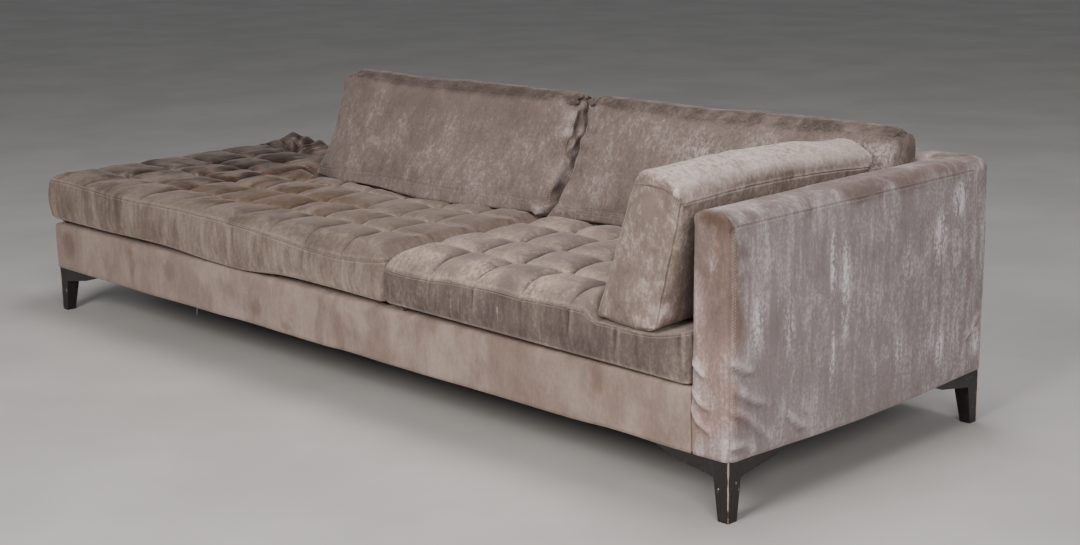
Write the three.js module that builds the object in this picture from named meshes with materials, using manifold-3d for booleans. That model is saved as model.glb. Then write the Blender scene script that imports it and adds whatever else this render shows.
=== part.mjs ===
// A long two-seat chaise sofa with one arm, in millimetres, +Z up.
//
// X runs along the sofa, with the arm at +X. Y runs from the front edge at -Y to the back.
// The origin is on the floor, under the middle of the whole sofa.
//
// A softwood frame stands on four mitred corner legs and a middle foot. Webbing and a lining make the
// seat deck. Boards close the arm and the back, foam wraps them, and a fabric cover goes over the foam.
// Two deep seat cushions, two back cushions and one arm cushion lie loose on it. The back stops short
// of the left end, so the left seat cushion is cut round it and reaches the back edge there.
import * as THREE from "three";
import { ConvexGeometry } from "three/addons/geometries/ConvexGeometry.js";
import { mergeVertices } from "three/addons/utils/BufferGeometryUtils.js";
import Module from "manifold-3d";

const wasm = await Module();
wasm.setup();

// Driving dimensions
const LENGTH = 2820; // over the covers, without the cushions
const DEPTH = 980;
const OVERHANG = 10; // seat cushions past the base, at the front and at the left end
const LEG_HEIGHT = 140;
const BASE_TOP = 287;
const ARM_TOP = 675; // the back is as high as the arm
const WALL = 105; // thickness of the padded arm and of the padded back
const BACK_START = -850; // left end of the back, along X
const CUSHION_SPLIT = 290; // where the two seat cushions meet, along X
const SEAT_TOP = 425;

const COVER = 3;
const FOAM = 12;
const BOARD = 3;
const RAIL = 27; // thickness of the base timbers
const GAP = 0.3; // between pieces that touch
const TOP_ROUND = 30; // radius of the arm's and the back's top edges
const CORNER_ROUND = 22; // radius of their upright corners

// Outside faces of the covered base
const LEFT = -LENGTH / 2 + OVERHANG / 2;
const RIGHT = LEFT + LENGTH;
const FRONT = -DEPTH / 2 + OVERHANG / 2;
const BACK = FRONT + DEPTH;
const ARM_INSIDE = RIGHT - WALL;
const BACK_INSIDE = BACK - WALL;

// Depth of each layer below the outside face
const FOAM_OUT = COVER + GAP;
const FOAM_IN = FOAM_OUT + FOAM;
const CORE = FOAM_IN + GAP;
const FRAME = CORE + BOARD + GAP;

// Heights
const COVER_BOTTOM = LEG_HEIGHT + GAP;
const RAIL_BOTTOM = LEG_HEIGHT + 2.1;
const RAIL_TOP = 275;
const CROSS_RAIL_TOP = 252;
const LIP_BOTTOM = BASE_TOP - COVER;
const INSIDE_COVER_BOTTOM = BASE_TOP + 3; // the arm's and the back's inside faces end here
const TOP_RAIL_HEIGHT = 40;
const TOP_RAIL_BOTTOM = ARM_TOP - CORE - TOP_RAIL_HEIGHT;

const finish = (color, roughness, metalness = 0) =>
  new THREE.MeshStandardMaterial({ color, roughness, metalness });
const velvet = finish(0x8c7d74, 0.85);
const lacquer = finish(0x171412, 0.38);
const timber = finish(0xc29b68, 0.7);
const hardboard = finish(0x7b5636, 0.75);
const foam = finish(0xe2d9bd, 0.95);
const webbing = finish(0x3b3a3c, 0.9);
const lining = finish(0x2a2829, 0.95);
const steel = finish(0xa7a8aa, 0.35, 1);

const sofa = new THREE.Group();

function add(name, geometry, material, position = [0, 0, 0]) {
  const mesh = new THREE.Mesh(geometry, material);
  mesh.name = name;
  mesh.position.set(...position);
  sofa.add(mesh);
  return mesh;
}

// A box between two limits along each axis.
function box([x0, x1], [y0, y1], [z0, z1]) {
  return new THREE.BoxGeometry(x1 - x0, y1 - y0, z1 - z0).translate(
    (x0 + x1) / 2,
    (y0 + y1) / 2,
    (z0 + z1) / 2,
  );
}

// A (y, z) outline drawn out along X, and an (x, z) outline drawn out along Y.
const AXES = {
  x: new THREE.Vector3(1, 0, 0),
  y: new THREE.Vector3(0, 1, 0),
  z: new THREE.Vector3(0, 0, 1),
};
function alongX(outline, x0, x1) {
  return new THREE.ExtrudeGeometry(outline, {
    depth: x1 - x0,
    bevelEnabled: false,
    curveSegments: 5,
  })
    .applyMatrix4(new THREE.Matrix4().makeBasis(AXES.y, AXES.z, AXES.x))
    .translate(x0, 0, 0);
}
function alongY(outline, y0, y1) {
  return new THREE.ExtrudeGeometry(outline, {
    depth: y1 - y0,
    bevelEnabled: false,
    curveSegments: 5,
  })
    .applyMatrix4(new THREE.Matrix4().makeBasis(AXES.x, AXES.z, AXES.y.clone().negate()))
    .translate(0, y1, 0);
}

// Joining and cutting
function solid(geometry) {
  const bare = geometry.clone();
  bare.deleteAttribute("normal");
  bare.deleteAttribute("uv");
  const merged = mergeVertices(bare, 1e-3);
  return new wasm.Manifold(
    new wasm.Mesh({
      numProp: 3,
      vertProperties: merged.attributes.position.array,
      triVerts: new Uint32Array(merged.index.array),
    }),
  );
}
function geometryOf(body) {
  const mesh = body.getMesh();
  return new THREE.BufferGeometry()
    .setAttribute("position", new THREE.BufferAttribute(mesh.vertProperties, 3))
    .setIndex(new THREE.BufferAttribute(mesh.triVerts, 1))
    .toNonIndexed();
}
const join = (...parts) => geometryOf(parts.map(solid).reduce((a, b) => a.add(b)));
const overlap = (a, b) => geometryOf(solid(a).intersect(solid(b)));
const cut = (body, ...tools) =>
  geometryOf(tools.map(solid).reduce((a, b) => a.subtract(b), solid(body)));

// ---------- legs ----------
// Each leg is three mitred boards: a tapered post at the corner, and a wing along each side of the base.
const LEG_INSET = 4; // behind the cover's outside face
const POST_TOP = 42; // width of the post at the knee
const POST_FOOT = 29;
const KNEE = LEG_HEIGHT - POST_TOP; // the mitre runs at 45 degrees from the corner down to here
const WING_LENGTH = 217;
const WING_THICK = 36;
const WING_BEVEL_START = 160; // from the corner, where the wing's end starts to rise
const WING_BEVEL_HEIGHT = 118;
const MITRE_GAP = 0.5;
const SCREW_FROM_CORNER = 110;
const SCREW_FROM_FACE = 25;
const SCREW_HEAD_TOP = 120;
const SCREW_TIP = 172;
const SCREW_RADIUS = 2.3;
const SCREW_HEAD_RADIUS = 5;

function legPost() {
  const points = [new THREE.Vector3(0, 0, LEG_HEIGHT)];
  for (const [size, z] of [
    [POST_FOOT, 0],
    [POST_TOP, KNEE],
  ])
    for (const [a, b] of [
      [0, 0],
      [size, 0],
      [0, size],
      [size, size],
    ])
      points.push(new THREE.Vector3(a, b, z));
  return new ConvexGeometry(points);
}

// The wing that lies along its own +X, with its outer face at y = 0.
function legWing() {
  const inMitre = LEG_HEIGHT - WING_THICK;
  const corners = [
    [0, 0, LEG_HEIGHT],
    [WING_THICK, WING_THICK, LEG_HEIGHT],
    [WING_THICK, WING_THICK, inMitre],
  ];
  for (const y of [0, WING_THICK])
    corners.push(
      [POST_TOP, y, KNEE],
      [WING_BEVEL_START, y, WING_BEVEL_HEIGHT],
      [WING_LENGTH, y, LEG_HEIGHT],
    );
  const wing = new ConvexGeometry(corners.map((p) => new THREE.Vector3(...p)));
  const hole = (radius, z0, z1) =>
    new THREE.CylinderGeometry(radius, radius, z1 - z0, 12)
      .rotateX(Math.PI / 2)
      .translate(SCREW_FROM_CORNER, SCREW_FROM_FACE, (z0 + z1) / 2);
  return cut(
    wing,
    hole(SCREW_HEAD_RADIUS + 0.6, KNEE - 5, SCREW_HEAD_TOP),
    hole(SCREW_RADIUS + GAP, SCREW_HEAD_TOP - 1, LEG_HEIGHT + 1),
  ).translate(MITRE_GAP, 0, 0);
}

// A pan-head wood screw, pointing up.
function legScrew() {
  const outline = [
    [0, SCREW_HEAD_TOP - 3.5],
    [SCREW_HEAD_RADIUS, SCREW_HEAD_TOP - 3],
    [SCREW_HEAD_RADIUS, SCREW_HEAD_TOP - GAP],
    [SCREW_RADIUS, SCREW_HEAD_TOP - GAP],
    [SCREW_RADIUS, SCREW_TIP - 8],
    [0, SCREW_TIP],
  ];
  return new THREE.LatheGeometry(
    outline.map(([r, z]) => new THREE.Vector2(r, z)),
    12,
  ).rotateX(Math.PI / 2);
}

// The legs are alike but for their hand. sx and sy point from the corner into the base.
const screwPlaces = [];
for (const [name, cornerX, cornerY, sx, sy] of [
  ["front_left", LEFT + LEG_INSET, FRONT + LEG_INSET, 1, 1],
  ["front_right", RIGHT - LEG_INSET, FRONT + LEG_INSET, -1, 1],
  ["back_left", LEFT + LEG_INSET, BACK - LEG_INSET, 1, -1],
  ["back_right", RIGHT - LEG_INSET, BACK - LEG_INSET, -1, -1],
]) {
  const leg = new THREE.Group();
  leg.position.set(cornerX, cornerY, 0);
  leg.scale.set(sx, sy, 1);
  sofa.add(leg);
  const place = (part, geometry, material, x = 0, y = 0) => {
    const mesh = add(`leg_${name}_${part}`, geometry, material, [x, y, 0]);
    leg.add(mesh);
  };
  place("post", legPost(), lacquer);
  place("long_wing", legWing(), lacquer);
  // Swapping X and Y mirrors the wing, so the faces are turned back by the swap of two corners.
  place("side_wing", swapXY(legWing()), lacquer);
  place("long_screw", legScrew(), steel, SCREW_FROM_CORNER + MITRE_GAP, SCREW_FROM_FACE);
  place("side_screw", legScrew(), steel, SCREW_FROM_FACE, SCREW_FROM_CORNER + MITRE_GAP);
  screwPlaces.push(
    [cornerX + sx * (SCREW_FROM_CORNER + MITRE_GAP), cornerY + sy * SCREW_FROM_FACE],
    [cornerX + sx * SCREW_FROM_FACE, cornerY + sy * (SCREW_FROM_CORNER + MITRE_GAP)],
  );
}

function swapXY(geometry) {
  const at = geometry.attributes.position;
  const turned = new Float32Array(at.count * 3);
  for (let i = 0; i < at.count; i++) {
    const corner = i % 3 === 1 ? i + 1 : i % 3 === 2 ? i - 1 : i;
    turned.set([at.getY(corner), at.getX(corner), at.getZ(corner)], i * 3);
  }
  return new THREE.BufferGeometry().setAttribute(
    "position",
    new THREE.BufferAttribute(turned, 3),
  );
}

// ---------- base frame ----------
const POST_WIDTH = [ARM_INSIDE + FRAME, RIGHT - FRAME]; // the arm's timbers, across
const BACK_WIDTH = [BACK_INSIDE + FRAME, BACK - FRAME];
const ARM_FRONT_POST = [FRONT + CORE, FRONT + CORE + 45];
const FRONT_RAIL_Y = [FRONT + CORE, FRONT + CORE + RAIL];
const BACK_RAIL_Y = [BACK - FRAME - RAIL, BACK - FRAME];
const LEFT_RAIL_X = [LEFT + CORE, LEFT + CORE + RAIL];
const RIGHT_RAIL_X = [RIGHT - FRAME - RAIL, RIGHT - FRAME];
const RAIL_END_X = POST_WIDTH[0] - GAP;
const RAIL_Z = [RAIL_BOTTOM, RAIL_TOP];
const between = ([, a], [b]) => [a + GAP, b - GAP];

// A timber with the pilot holes of the leg screws that reach it.
function drilled(name, x, y, z) {
  const holes = screwPlaces
    .filter(([px, py]) => px > x[0] && px < x[1] && py > y[0] && py < y[1])
    .map(([px, py]) =>
      new THREE.CylinderGeometry(SCREW_RADIUS + GAP, SCREW_RADIUS + GAP, 60, 12)
        .rotateX(Math.PI / 2)
        .translate(px, py, SCREW_TIP + GAP - 30),
    );
  add(name, cut(box(x, y, z), ...holes), timber);
}
drilled("front_rail", [LEFT_RAIL_X[0], RAIL_END_X], FRONT_RAIL_Y, RAIL_Z);
drilled("back_rail", [LEFT_RAIL_X[0], RAIL_END_X], BACK_RAIL_Y, RAIL_Z);
drilled("left_rail", LEFT_RAIL_X, between(FRONT_RAIL_Y, BACK_RAIL_Y), RAIL_Z);
drilled("right_rail", RIGHT_RAIL_X, between(ARM_FRONT_POST, BACK_WIDTH), RAIL_Z);

const CROSS_RAILS = 3;
const crossRailX = (k) =>
  LEFT_RAIL_X[1] + ((RAIL_END_X - LEFT_RAIL_X[1]) * k) / (CROSS_RAILS + 1);
for (let k = 1; k <= CROSS_RAILS; k++) {
  const x = crossRailX(k);
  add(
    `cross_rail_${k}`,
    box([x - RAIL / 2, x + RAIL / 2], between(FRONT_RAIL_Y, BACK_RAIL_Y), [RAIL_BOTTOM, CROSS_RAIL_TOP]),
    timber,
  );
}

// Triangular glue blocks in the frame's inside corners.
function cornerBlock(name, x, y, dx, dy) {
  const points = [];
  for (const z of [RAIL_BOTTOM + 8, CROSS_RAIL_TOP])
    points.push(
      new THREE.Vector3(x, y, z),
      new THREE.Vector3(x + dx, y, z),
      new THREE.Vector3(x, y + dy, z),
    );
  add(name, new ConvexGeometry(points), timber);
}
const BLOCK = 80;
const BLOCK_AT_ARM = 38;
cornerBlock("corner_block_front_left", LEFT_RAIL_X[1] + GAP, FRONT_RAIL_Y[1] + GAP, BLOCK, BLOCK);
cornerBlock("corner_block_back_left", LEFT_RAIL_X[1] + GAP, BACK_RAIL_Y[0] - GAP, BLOCK, -BLOCK);
cornerBlock("corner_block_front_right", RIGHT_RAIL_X[0] - GAP, ARM_FRONT_POST[1] + GAP, -BLOCK_AT_ARM, BLOCK);
cornerBlock("corner_block_back_right", RIGHT_RAIL_X[0] - GAP, BACK_WIDTH[0] - GAP, -BLOCK_AT_ARM, -BLOCK);

// A turned foot under the middle of the frame.
const footOutline = [
  [0, 0],
  [21, 0],
  [23, 3],
  [29, LEG_HEIGHT - 2],
  [29, LEG_HEIGHT],
  [0, LEG_HEIGHT],
];
add(
  "middle_foot",
  new THREE.LatheGeometry(
    footOutline.map(([r, z]) => new THREE.Vector2(r, z)),
    20,
  ).rotateX(Math.PI / 2),
  lacquer,
  [crossRailX(2), (FRONT + BACK) / 2, 0],
);

// ---------- arm frame and back frame ----------
const POST_Z = [RAIL_BOTTOM, TOP_RAIL_BOTTOM - GAP];
const TOP_RAIL_Z = [TOP_RAIL_BOTTOM, ARM_TOP - CORE];
add("arm_front_post", box(POST_WIDTH, ARM_FRONT_POST, POST_Z), timber);
add("arm_back_post", box(POST_WIDTH, BACK_WIDTH, POST_Z), timber);
add("arm_top_rail", box(POST_WIDTH, [FRONT + CORE, BACK_WIDTH[1]], TOP_RAIL_Z), timber);
add(
  "arm_outer_board",
  box([RIGHT - CORE - BOARD, RIGHT - CORE], [FRONT + CORE, BACK_WIDTH[1]], [RAIL_BOTTOM, ARM_TOP - CORE]),
  hardboard,
);
add(
  "arm_inner_board",
  box(
    [ARM_INSIDE + CORE, ARM_INSIDE + CORE + BOARD],
    [FRONT + CORE, BACK_INSIDE + CORE - GAP],
    [INSIDE_COVER_BOTTOM, ARM_TOP - CORE],
  ),
  hardboard,
);

const UPRIGHT = 45;
const BACK_POST_Z = [RAIL_TOP + GAP, TOP_RAIL_BOTTOM - GAP];
const backStart = BACK_START + CORE;
const middle = (backStart + RAIL_END_X) / 2;
add("back_left_post", box([backStart, backStart + UPRIGHT], BACK_WIDTH, BACK_POST_Z), timber);
add("back_middle_post", box([middle - UPRIGHT / 2, middle + UPRIGHT / 2], BACK_WIDTH, BACK_POST_Z), timber);
add("back_top_rail", box([backStart, RAIL_END_X], BACK_WIDTH, TOP_RAIL_Z), timber);
add(
  "back_outer_board",
  box([backStart, RIGHT - CORE], [BACK - CORE - BOARD, BACK - CORE], [RAIL_BOTTOM, ARM_TOP - CORE]),
  hardboard,
);
add(
  "back_inner_board",
  box(
    [backStart, RAIL_END_X],
    [BACK_INSIDE + CORE, BACK_INSIDE + CORE + BOARD],
    [INSIDE_COVER_BOTTOM, ARM_TOP - CORE],
  ),
  hardboard,
);

// ---------- seat deck ----------
// Woven straps, stapled to the tops of the rails. The straps along X lie on those across and are joined to them.
const STRAP = 50;
const STRAP_THICK = 2.2;
const ACROSS = 14;
const LENGTHWISE = 3;
const strapBottom = RAIL_TOP + GAP;
const across = [];
for (let k = 0; k < ACROSS; k++) {
  const x = LEFT_RAIL_X[1] + 70 + (k * (RAIL_END_X - LEFT_RAIL_X[1] - 140)) / (ACROSS - 1);
  across.push(
    box(
      [x - STRAP / 2, x + STRAP / 2],
      [FRONT_RAIL_Y[0] + 4, BACK_RAIL_Y[0] + 8],
      [strapBottom, strapBottom + STRAP_THICK],
    ),
  );
}
const lengthwise = [];
for (let k = 0; k < LENGTHWISE; k++) {
  const y = (FRONT + BACK) / 2 + (k - 1) * 230;
  lengthwise.push(
    box(
      [LEFT_RAIL_X[0] + 4, RIGHT_RAIL_X[1] - 4],
      [y - STRAP / 2, y + STRAP / 2],
      [strapBottom + STRAP_THICK - 0.4, strapBottom + 2 * STRAP_THICK - 0.4],
    ),
  );
}
// The strap ends pass the foot of each back post with room to spare.
const postFeet = [backStart + UPRIGHT / 2, middle].map((x) =>
  box([x - UPRIGHT / 2 - 1, x + UPRIGHT / 2 + 1], [BACK_WIDTH[0] - 1, BACK], [RAIL_TOP, RAIL_TOP + 10]),
);
add("seat_webbing", cut(join(...across, ...lengthwise), ...postFeet), webbing);

const DECK_TOP = LIP_BOTTOM - GAP;
const deckBottom = strapBottom + 2 * STRAP_THICK;
const deckOutline = new THREE.Shape([
  new THREE.Vector2(LEFT + CORE, FRONT + CORE),
  new THREE.Vector2(ARM_INSIDE + FOAM_IN, FRONT + CORE),
  new THREE.Vector2(ARM_INSIDE + FOAM_IN, BACK_INSIDE + FOAM_IN),
  new THREE.Vector2(BACK_START - GAP, BACK_INSIDE + FOAM_IN),
  new THREE.Vector2(BACK_START - GAP, BACK - FRAME),
  new THREE.Vector2(LEFT + CORE, BACK - FRAME),
]);
add(
  "deck_lining",
  new THREE.ExtrudeGeometry(deckOutline, { depth: DECK_TOP - deckBottom, bevelEnabled: false }).translate(
    0,
    0,
    deckBottom,
  ),
  lining,
);
const DUST_INSET = 36;
add(
  "dust_cover",
  box(
    [LEFT + DUST_INSET + 5, RIGHT - DUST_INSET - 5],
    [FRONT + DUST_INSET + 5, BACK - DUST_INSET - 5],
    [LEG_HEIGHT + GAP, RAIL_BOTTOM - GAP],
  ),
  lining,
);

// ---------- foam and covers of the arm and the back ----------
// The outline of a wall, depth below the cover's face, from z0 up. The timber inside the foam is square,
// and everything outside it has a rounded top.
function wallOutline(inside, outside, depth, z0) {
  const a = inside + depth;
  const b = outside - depth;
  const top = ARM_TOP - depth;
  if (depth >= FOAM_IN)
    return new THREE.Shape([
      new THREE.Vector2(a, z0),
      new THREE.Vector2(b, z0),
      new THREE.Vector2(b, top),
      new THREE.Vector2(a, top),
    ]);
  const r = TOP_ROUND - depth;
  return new THREE.Shape()
    .moveTo(a, z0)
    .lineTo(b, z0)
    .lineTo(b, top - r)
    .absarc(b - r, top - r, r, 0, Math.PI / 2, false)
    .lineTo(a + r, top)
    .absarc(a + r, top - r, r, Math.PI / 2, Math.PI, false)
    .lineTo(a, z0);
}
const BELOW = COVER_BOTTOM - 10;
const ABOVE = ARM_TOP + 10;

// An upright prism on an (x, y) rectangle, with rounded corners.
function roundedPrism([x0, x1], [y0, y1], r) {
  const outline = new THREE.Shape()
    .moveTo(x0 + r, y0)
    .absarc(x1 - r, y0 + r, r, -Math.PI / 2, 0, false)
    .absarc(x1 - r, y1 - r, r, 0, Math.PI / 2, false)
    .absarc(x0 + r, y1 - r, r, Math.PI / 2, Math.PI, false)
    .absarc(x0 + r, y0 + r, r, Math.PI, Math.PI * 1.5, false);
  return new THREE.ExtrudeGeometry(outline, {
    depth: ABOVE - BELOW,
    bevelEnabled: false,
    curveSegments: 4,
  }).translate(0, 0, BELOW);
}
// The solid inside a wall's skin, at a depth below the cover's face. The mitred end of each wall runs on past
// the inside corner, so only its free corners and the outside corner are round.
function armBody(depth, z0) {
  const length = alongY(wallOutline(ARM_INSIDE, RIGHT, depth, z0), FRONT + depth, BACK - depth);
  if (depth >= FOAM_IN) return length;
  const across = [ARM_INSIDE + depth, RIGHT - depth];
  return overlap(length, roundedPrism(across, [FRONT + depth, BACK - depth], CORNER_ROUND - depth));
}
function backBody(depth, z0) {
  const length = alongX(wallOutline(BACK_INSIDE, BACK, depth, z0), BACK_START + depth, RIGHT - depth);
  if (depth >= FOAM_IN) return length;
  const across = [BACK_INSIDE + depth, BACK - depth];
  return overlap(length, roundedPrism([BACK_START + depth, RIGHT - depth], across, CORNER_ROUND - depth));
}

// The arm and the back meet in a mitre. Its plane stands on the line from the inside corner to the outside one.
function mitreTool(side) {
  const past = 20;
  const shift = (side * GAP) / Math.SQRT2;
  const [x0, x1] = [ARM_INSIDE - past + shift, RIGHT + past + shift];
  const [y0, y1] = [BACK_INSIDE - past, BACK + past];
  const third = side > 0 ? [x0, y1] : [x1, y0];
  const triangle = new THREE.Shape([[x0, y0], [x1, y1], third].map(([x, y]) => new THREE.Vector2(x, y)));
  return new THREE.ExtrudeGeometry(triangle, { depth: ABOVE - BELOW + 20, bevelEnabled: false }).translate(
    0,
    0,
    BELOW - 10,
  );
}

// A skin over the arm or the back, from one depth to another. It is open below, and where the base joins it.
function armSkin(outer, inner, bottom) {
  const pastCorner = ARM_INSIDE + CORNER_ROUND;
  return cut(
    armBody(outer, bottom),
    armBody(inner, BELOW),
    box([ARM_INSIDE - 1, pastCorner], [FRONT + inner, BACK + 1], [BELOW, INSIDE_COVER_BOTTOM]),
    mitreTool(1),
  );
}
// Below the seat only the back wall's outer face is left, and it runs straight on to meet the base.
function backSkin(outer, inner, bottom) {
  const upper = cut(
    backBody(outer, bottom),
    backBody(inner, BELOW),
    box([BACK_START - 1, RIGHT], [BACK_INSIDE - 1, BACK - inner], [BELOW, INSIDE_COVER_BOTTOM]),
    mitreTool(-1),
  );
  const pastCorner = BACK_START + CORNER_ROUND + 1;
  const strip = box([BACK_START + outer, pastCorner], [BACK - inner, BACK - outer], [bottom, INSIDE_COVER_BOTTOM]);
  return join(upper, strip);
}
add("arm_foam", armSkin(FOAM_OUT, FOAM_IN, RAIL_BOTTOM), foam);
add("back_foam", backSkin(FOAM_OUT, FOAM_IN, RAIL_BOTTOM), foam);
add("arm_cover", armSkin(0, COVER, COVER_BOTTOM), velvet);
add("back_cover", backSkin(0, COVER, COVER_BOTTOM), velvet);

// ---------- foam and covers of the base ----------
const FOAM_Z = [RAIL_BOTTOM, LIP_BOTTOM - GAP];
add(
  "base_foam_front",
  box([LEFT + FOAM_OUT, ARM_INSIDE - GAP], [FRONT + FOAM_OUT, FRONT + FOAM_IN], FOAM_Z),
  foam,
);
add(
  "base_foam_left",
  box([LEFT + FOAM_OUT, LEFT + FOAM_IN], [FRONT + CORE, BACK - FRAME], FOAM_Z),
  foam,
);
add(
  "base_foam_back",
  box([LEFT + FOAM_OUT, BACK_START - GAP], [BACK - FRAME + GAP, BACK - FOAM_OUT], FOAM_Z),
  foam,
);

// Each panel turns over the top edge of the base and lies on the deck as a lip.
const LIP = 90;
const COVER_Z = [COVER_BOTTOM, BASE_TOP];
const LIP_Z = [LIP_BOTTOM, BASE_TOP];
const frontX = [LEFT, ARM_INSIDE - GAP];
const backX = [LEFT, BACK_START - GAP];
add(
  "base_cover_front",
  join(
    box(frontX, [FRONT, FRONT + COVER], COVER_Z),
    box(frontX, [FRONT, FRONT + LIP], LIP_Z),
  ),
  velvet,
);
add(
  "base_cover_left",
  join(
    box([LEFT, LEFT + COVER], [FRONT + COVER + GAP, BACK - COVER - GAP], [COVER_BOTTOM, LIP_BOTTOM - GAP]),
    box([LEFT, LEFT + COVER], [FRONT + LIP + GAP, BACK - LIP - GAP], COVER_Z),
    box([LEFT, LEFT + LIP], [FRONT + LIP + GAP, BACK - LIP - GAP], LIP_Z),
  ),
  velvet,
);
add(
  "base_cover_back",
  join(box(backX, [BACK - COVER, BACK], COVER_Z), box(backX, [BACK - LIP, BACK], LIP_Z)),
  velvet,
);

// ---------- cushions ----------
const SOFT_EDGE = 16;
// A flat cushion from an (x, y) outline, with rounded edges that stay inside the outline.
function seatCushion(corners) {
  const outline = new THREE.Shape(corners.map(([x, y]) => new THREE.Vector2(x, y)));
  const bottom = BASE_TOP + GAP;
  return new THREE.ExtrudeGeometry(outline, {
    depth: SEAT_TOP - bottom - 2 * SOFT_EDGE,
    bevelEnabled: true,
    bevelThickness: SOFT_EDGE,
    bevelSize: SOFT_EDGE,
    bevelOffset: -SOFT_EDGE,
    bevelSegments: 2,
  }).translate(0, 0, bottom + SOFT_EDGE);
}
const seatFront = FRONT - OVERHANG;
const seatBack = BACK_INSIDE - 1;
add(
  "seat_cushion_left",
  seatCushion([
    [LEFT - OVERHANG, seatFront],
    [CUSHION_SPLIT - 1, seatFront],
    [CUSHION_SPLIT - 1, seatBack],
    [BACK_START - 1, seatBack],
    [BACK_START - 1, BACK],
    [LEFT - OVERHANG, BACK],
  ]),
  velvet,
);
add(
  "seat_cushion_right",
  seatCushion([
    [CUSHION_SPLIT + 1, seatFront],
    [ARM_INSIDE - 1, seatFront],
    [ARM_INSIDE - 1, seatBack],
    [CUSHION_SPLIT + 1, seatBack],
  ]),
  velvet,
);

// The back cushions are wedges that lean on the back: (y, z) of the front edge, the rounded top and the back.
const cushionBottom = SEAT_TOP + GAP;
const backCushionOutline = new THREE.Shape()
  .moveTo(163, cushionBottom + 20)
  .lineTo(180, cushionBottom)
  .lineTo(BACK_INSIDE - 14, cushionBottom)
  .lineTo(BACK_INSIDE - 1, cushionBottom + 14)
  .lineTo(BACK_INSIDE - 1, 722)
  .quadraticCurveTo(BACK_INSIDE - 1, 756, 358, 756)
  .quadraticCurveTo(328, 756, 311, 722)
  .lineTo(163, cushionBottom + 20);
const BACK_CUSHION_GAP = [225, 242]; // between the two back cushions, along X
add("back_cushion_left", alongX(backCushionOutline, -857, BACK_CUSHION_GAP[0]), velvet);
add("back_cushion_right", alongX(backCushionOutline, BACK_CUSHION_GAP[1], 1288), velvet);

// The arm cushion leans towards the arm. Its far end slopes back with the back cushion that it meets.
const armCushionOutline = [
  [1022, cushionBottom + 14],
  [1034, cushionBottom],
  [1192, cushionBottom],
  [1204, cushionBottom + 14],
  [1279, 712],
  [1262, 744],
  [1228, 752],
  [1190, 742],
  [1172, 716],
];
const armCushionFront = seatFront + 1;
const armCushionBack = (z) => 148 + ((z - cushionBottom) * 88) / 327;
const armCushionPoints = armCushionOutline.flatMap(([x, z]) => [
  new THREE.Vector3(x, armCushionFront, z),
  new THREE.Vector3(x, armCushionBack(z), z),
]);
add("arm_cushion", new ConvexGeometry(armCushionPoints), velvet);

export default sofa;
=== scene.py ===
"""A long velvet chaise sofa with one arm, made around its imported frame.

X runs along the sofa, with the arm at +X. Y runs from the front edge to the back, and Z is up, in metres.
The wooden frame, the legs and what is inside come from the frame. The tufted seat cushions, the back
cushions, the arm cushion and the velvet over the arm, the back and the base are made here.
"""

import math

import bmesh
import bpy
import numpy as np
from mathutils import Matrix, Vector
from mathutils.bvhtree import BVHTree


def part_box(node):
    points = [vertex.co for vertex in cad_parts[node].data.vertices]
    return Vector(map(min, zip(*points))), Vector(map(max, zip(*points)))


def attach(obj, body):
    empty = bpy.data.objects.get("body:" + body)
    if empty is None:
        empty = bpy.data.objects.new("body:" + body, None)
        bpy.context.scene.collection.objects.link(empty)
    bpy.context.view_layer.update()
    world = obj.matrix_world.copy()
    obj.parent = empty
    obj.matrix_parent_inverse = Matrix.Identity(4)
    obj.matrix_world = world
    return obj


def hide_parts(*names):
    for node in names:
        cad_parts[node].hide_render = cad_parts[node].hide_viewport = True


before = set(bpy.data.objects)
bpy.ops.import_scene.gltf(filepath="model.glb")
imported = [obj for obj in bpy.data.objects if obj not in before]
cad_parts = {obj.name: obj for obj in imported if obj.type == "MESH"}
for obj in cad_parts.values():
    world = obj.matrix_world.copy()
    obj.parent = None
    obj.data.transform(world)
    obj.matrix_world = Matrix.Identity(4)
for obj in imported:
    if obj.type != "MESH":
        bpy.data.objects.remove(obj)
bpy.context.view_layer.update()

# ---------- the frame's own places ----------
ARM_LOW, ARM_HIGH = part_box("arm_cover")
BACK_LOW, BACK_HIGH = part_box("back_cover")
BASE_LOW, BASE_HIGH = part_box("base_cover_front")
CHAISE_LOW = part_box("seat_cushion_left")[0]
SEAT_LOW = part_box("seat_cushion_right")[0]
LEFT, FRONT, HEM = BASE_LOW
RIGHT, BACK = ARM_HIGH.x, BACK_HIGH.y
ARM_INSIDE, ARM_TOP = ARM_LOW.x, ARM_HIGH.z
BACK_START, BACK_INSIDE = BACK_LOW.x, BACK_LOW.y
BASE_TOP = BASE_HIGH.z
SEAT_SPLIT = SEAT_LOW.x

# ---------- camera, floor and light ----------
CAMERA_PLACE = (3.6753, -3.2162, 1.3883)
CAMERA_YAW = math.radians(45.97)
CAMERA_PITCH = math.radians(-12.83)
CAMERA_ROLL = math.radians(-1.07)
CAMERA_LENS = 58.27
CAMERA_SHIFT = -0.0092
KEY_WHITE, FILL_WHITE = (1.0, 0.96, 0.93), (1.0, 0.97, 0.95)  # slightly warm


def make_camera():
    """The view from off the arm's front corner, 1.4 m above the floor."""
    data = bpy.data.cameras.new("view")
    data.lens = CAMERA_LENS
    data.shift_y = CAMERA_SHIFT
    data.clip_end = 200
    camera = bpy.data.objects.new("view", data)
    bpy.context.collection.objects.link(camera)
    camera.matrix_world = (
        Matrix.Translation(CAMERA_PLACE)
        @ Matrix.Rotation(CAMERA_YAW, 4, "Z")
        @ Matrix.Rotation(math.pi / 2 + CAMERA_PITCH, 4, "X")
        @ Matrix.Rotation(CAMERA_ROLL, 4, "Z")
    )
    bpy.context.scene.camera = camera


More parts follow.
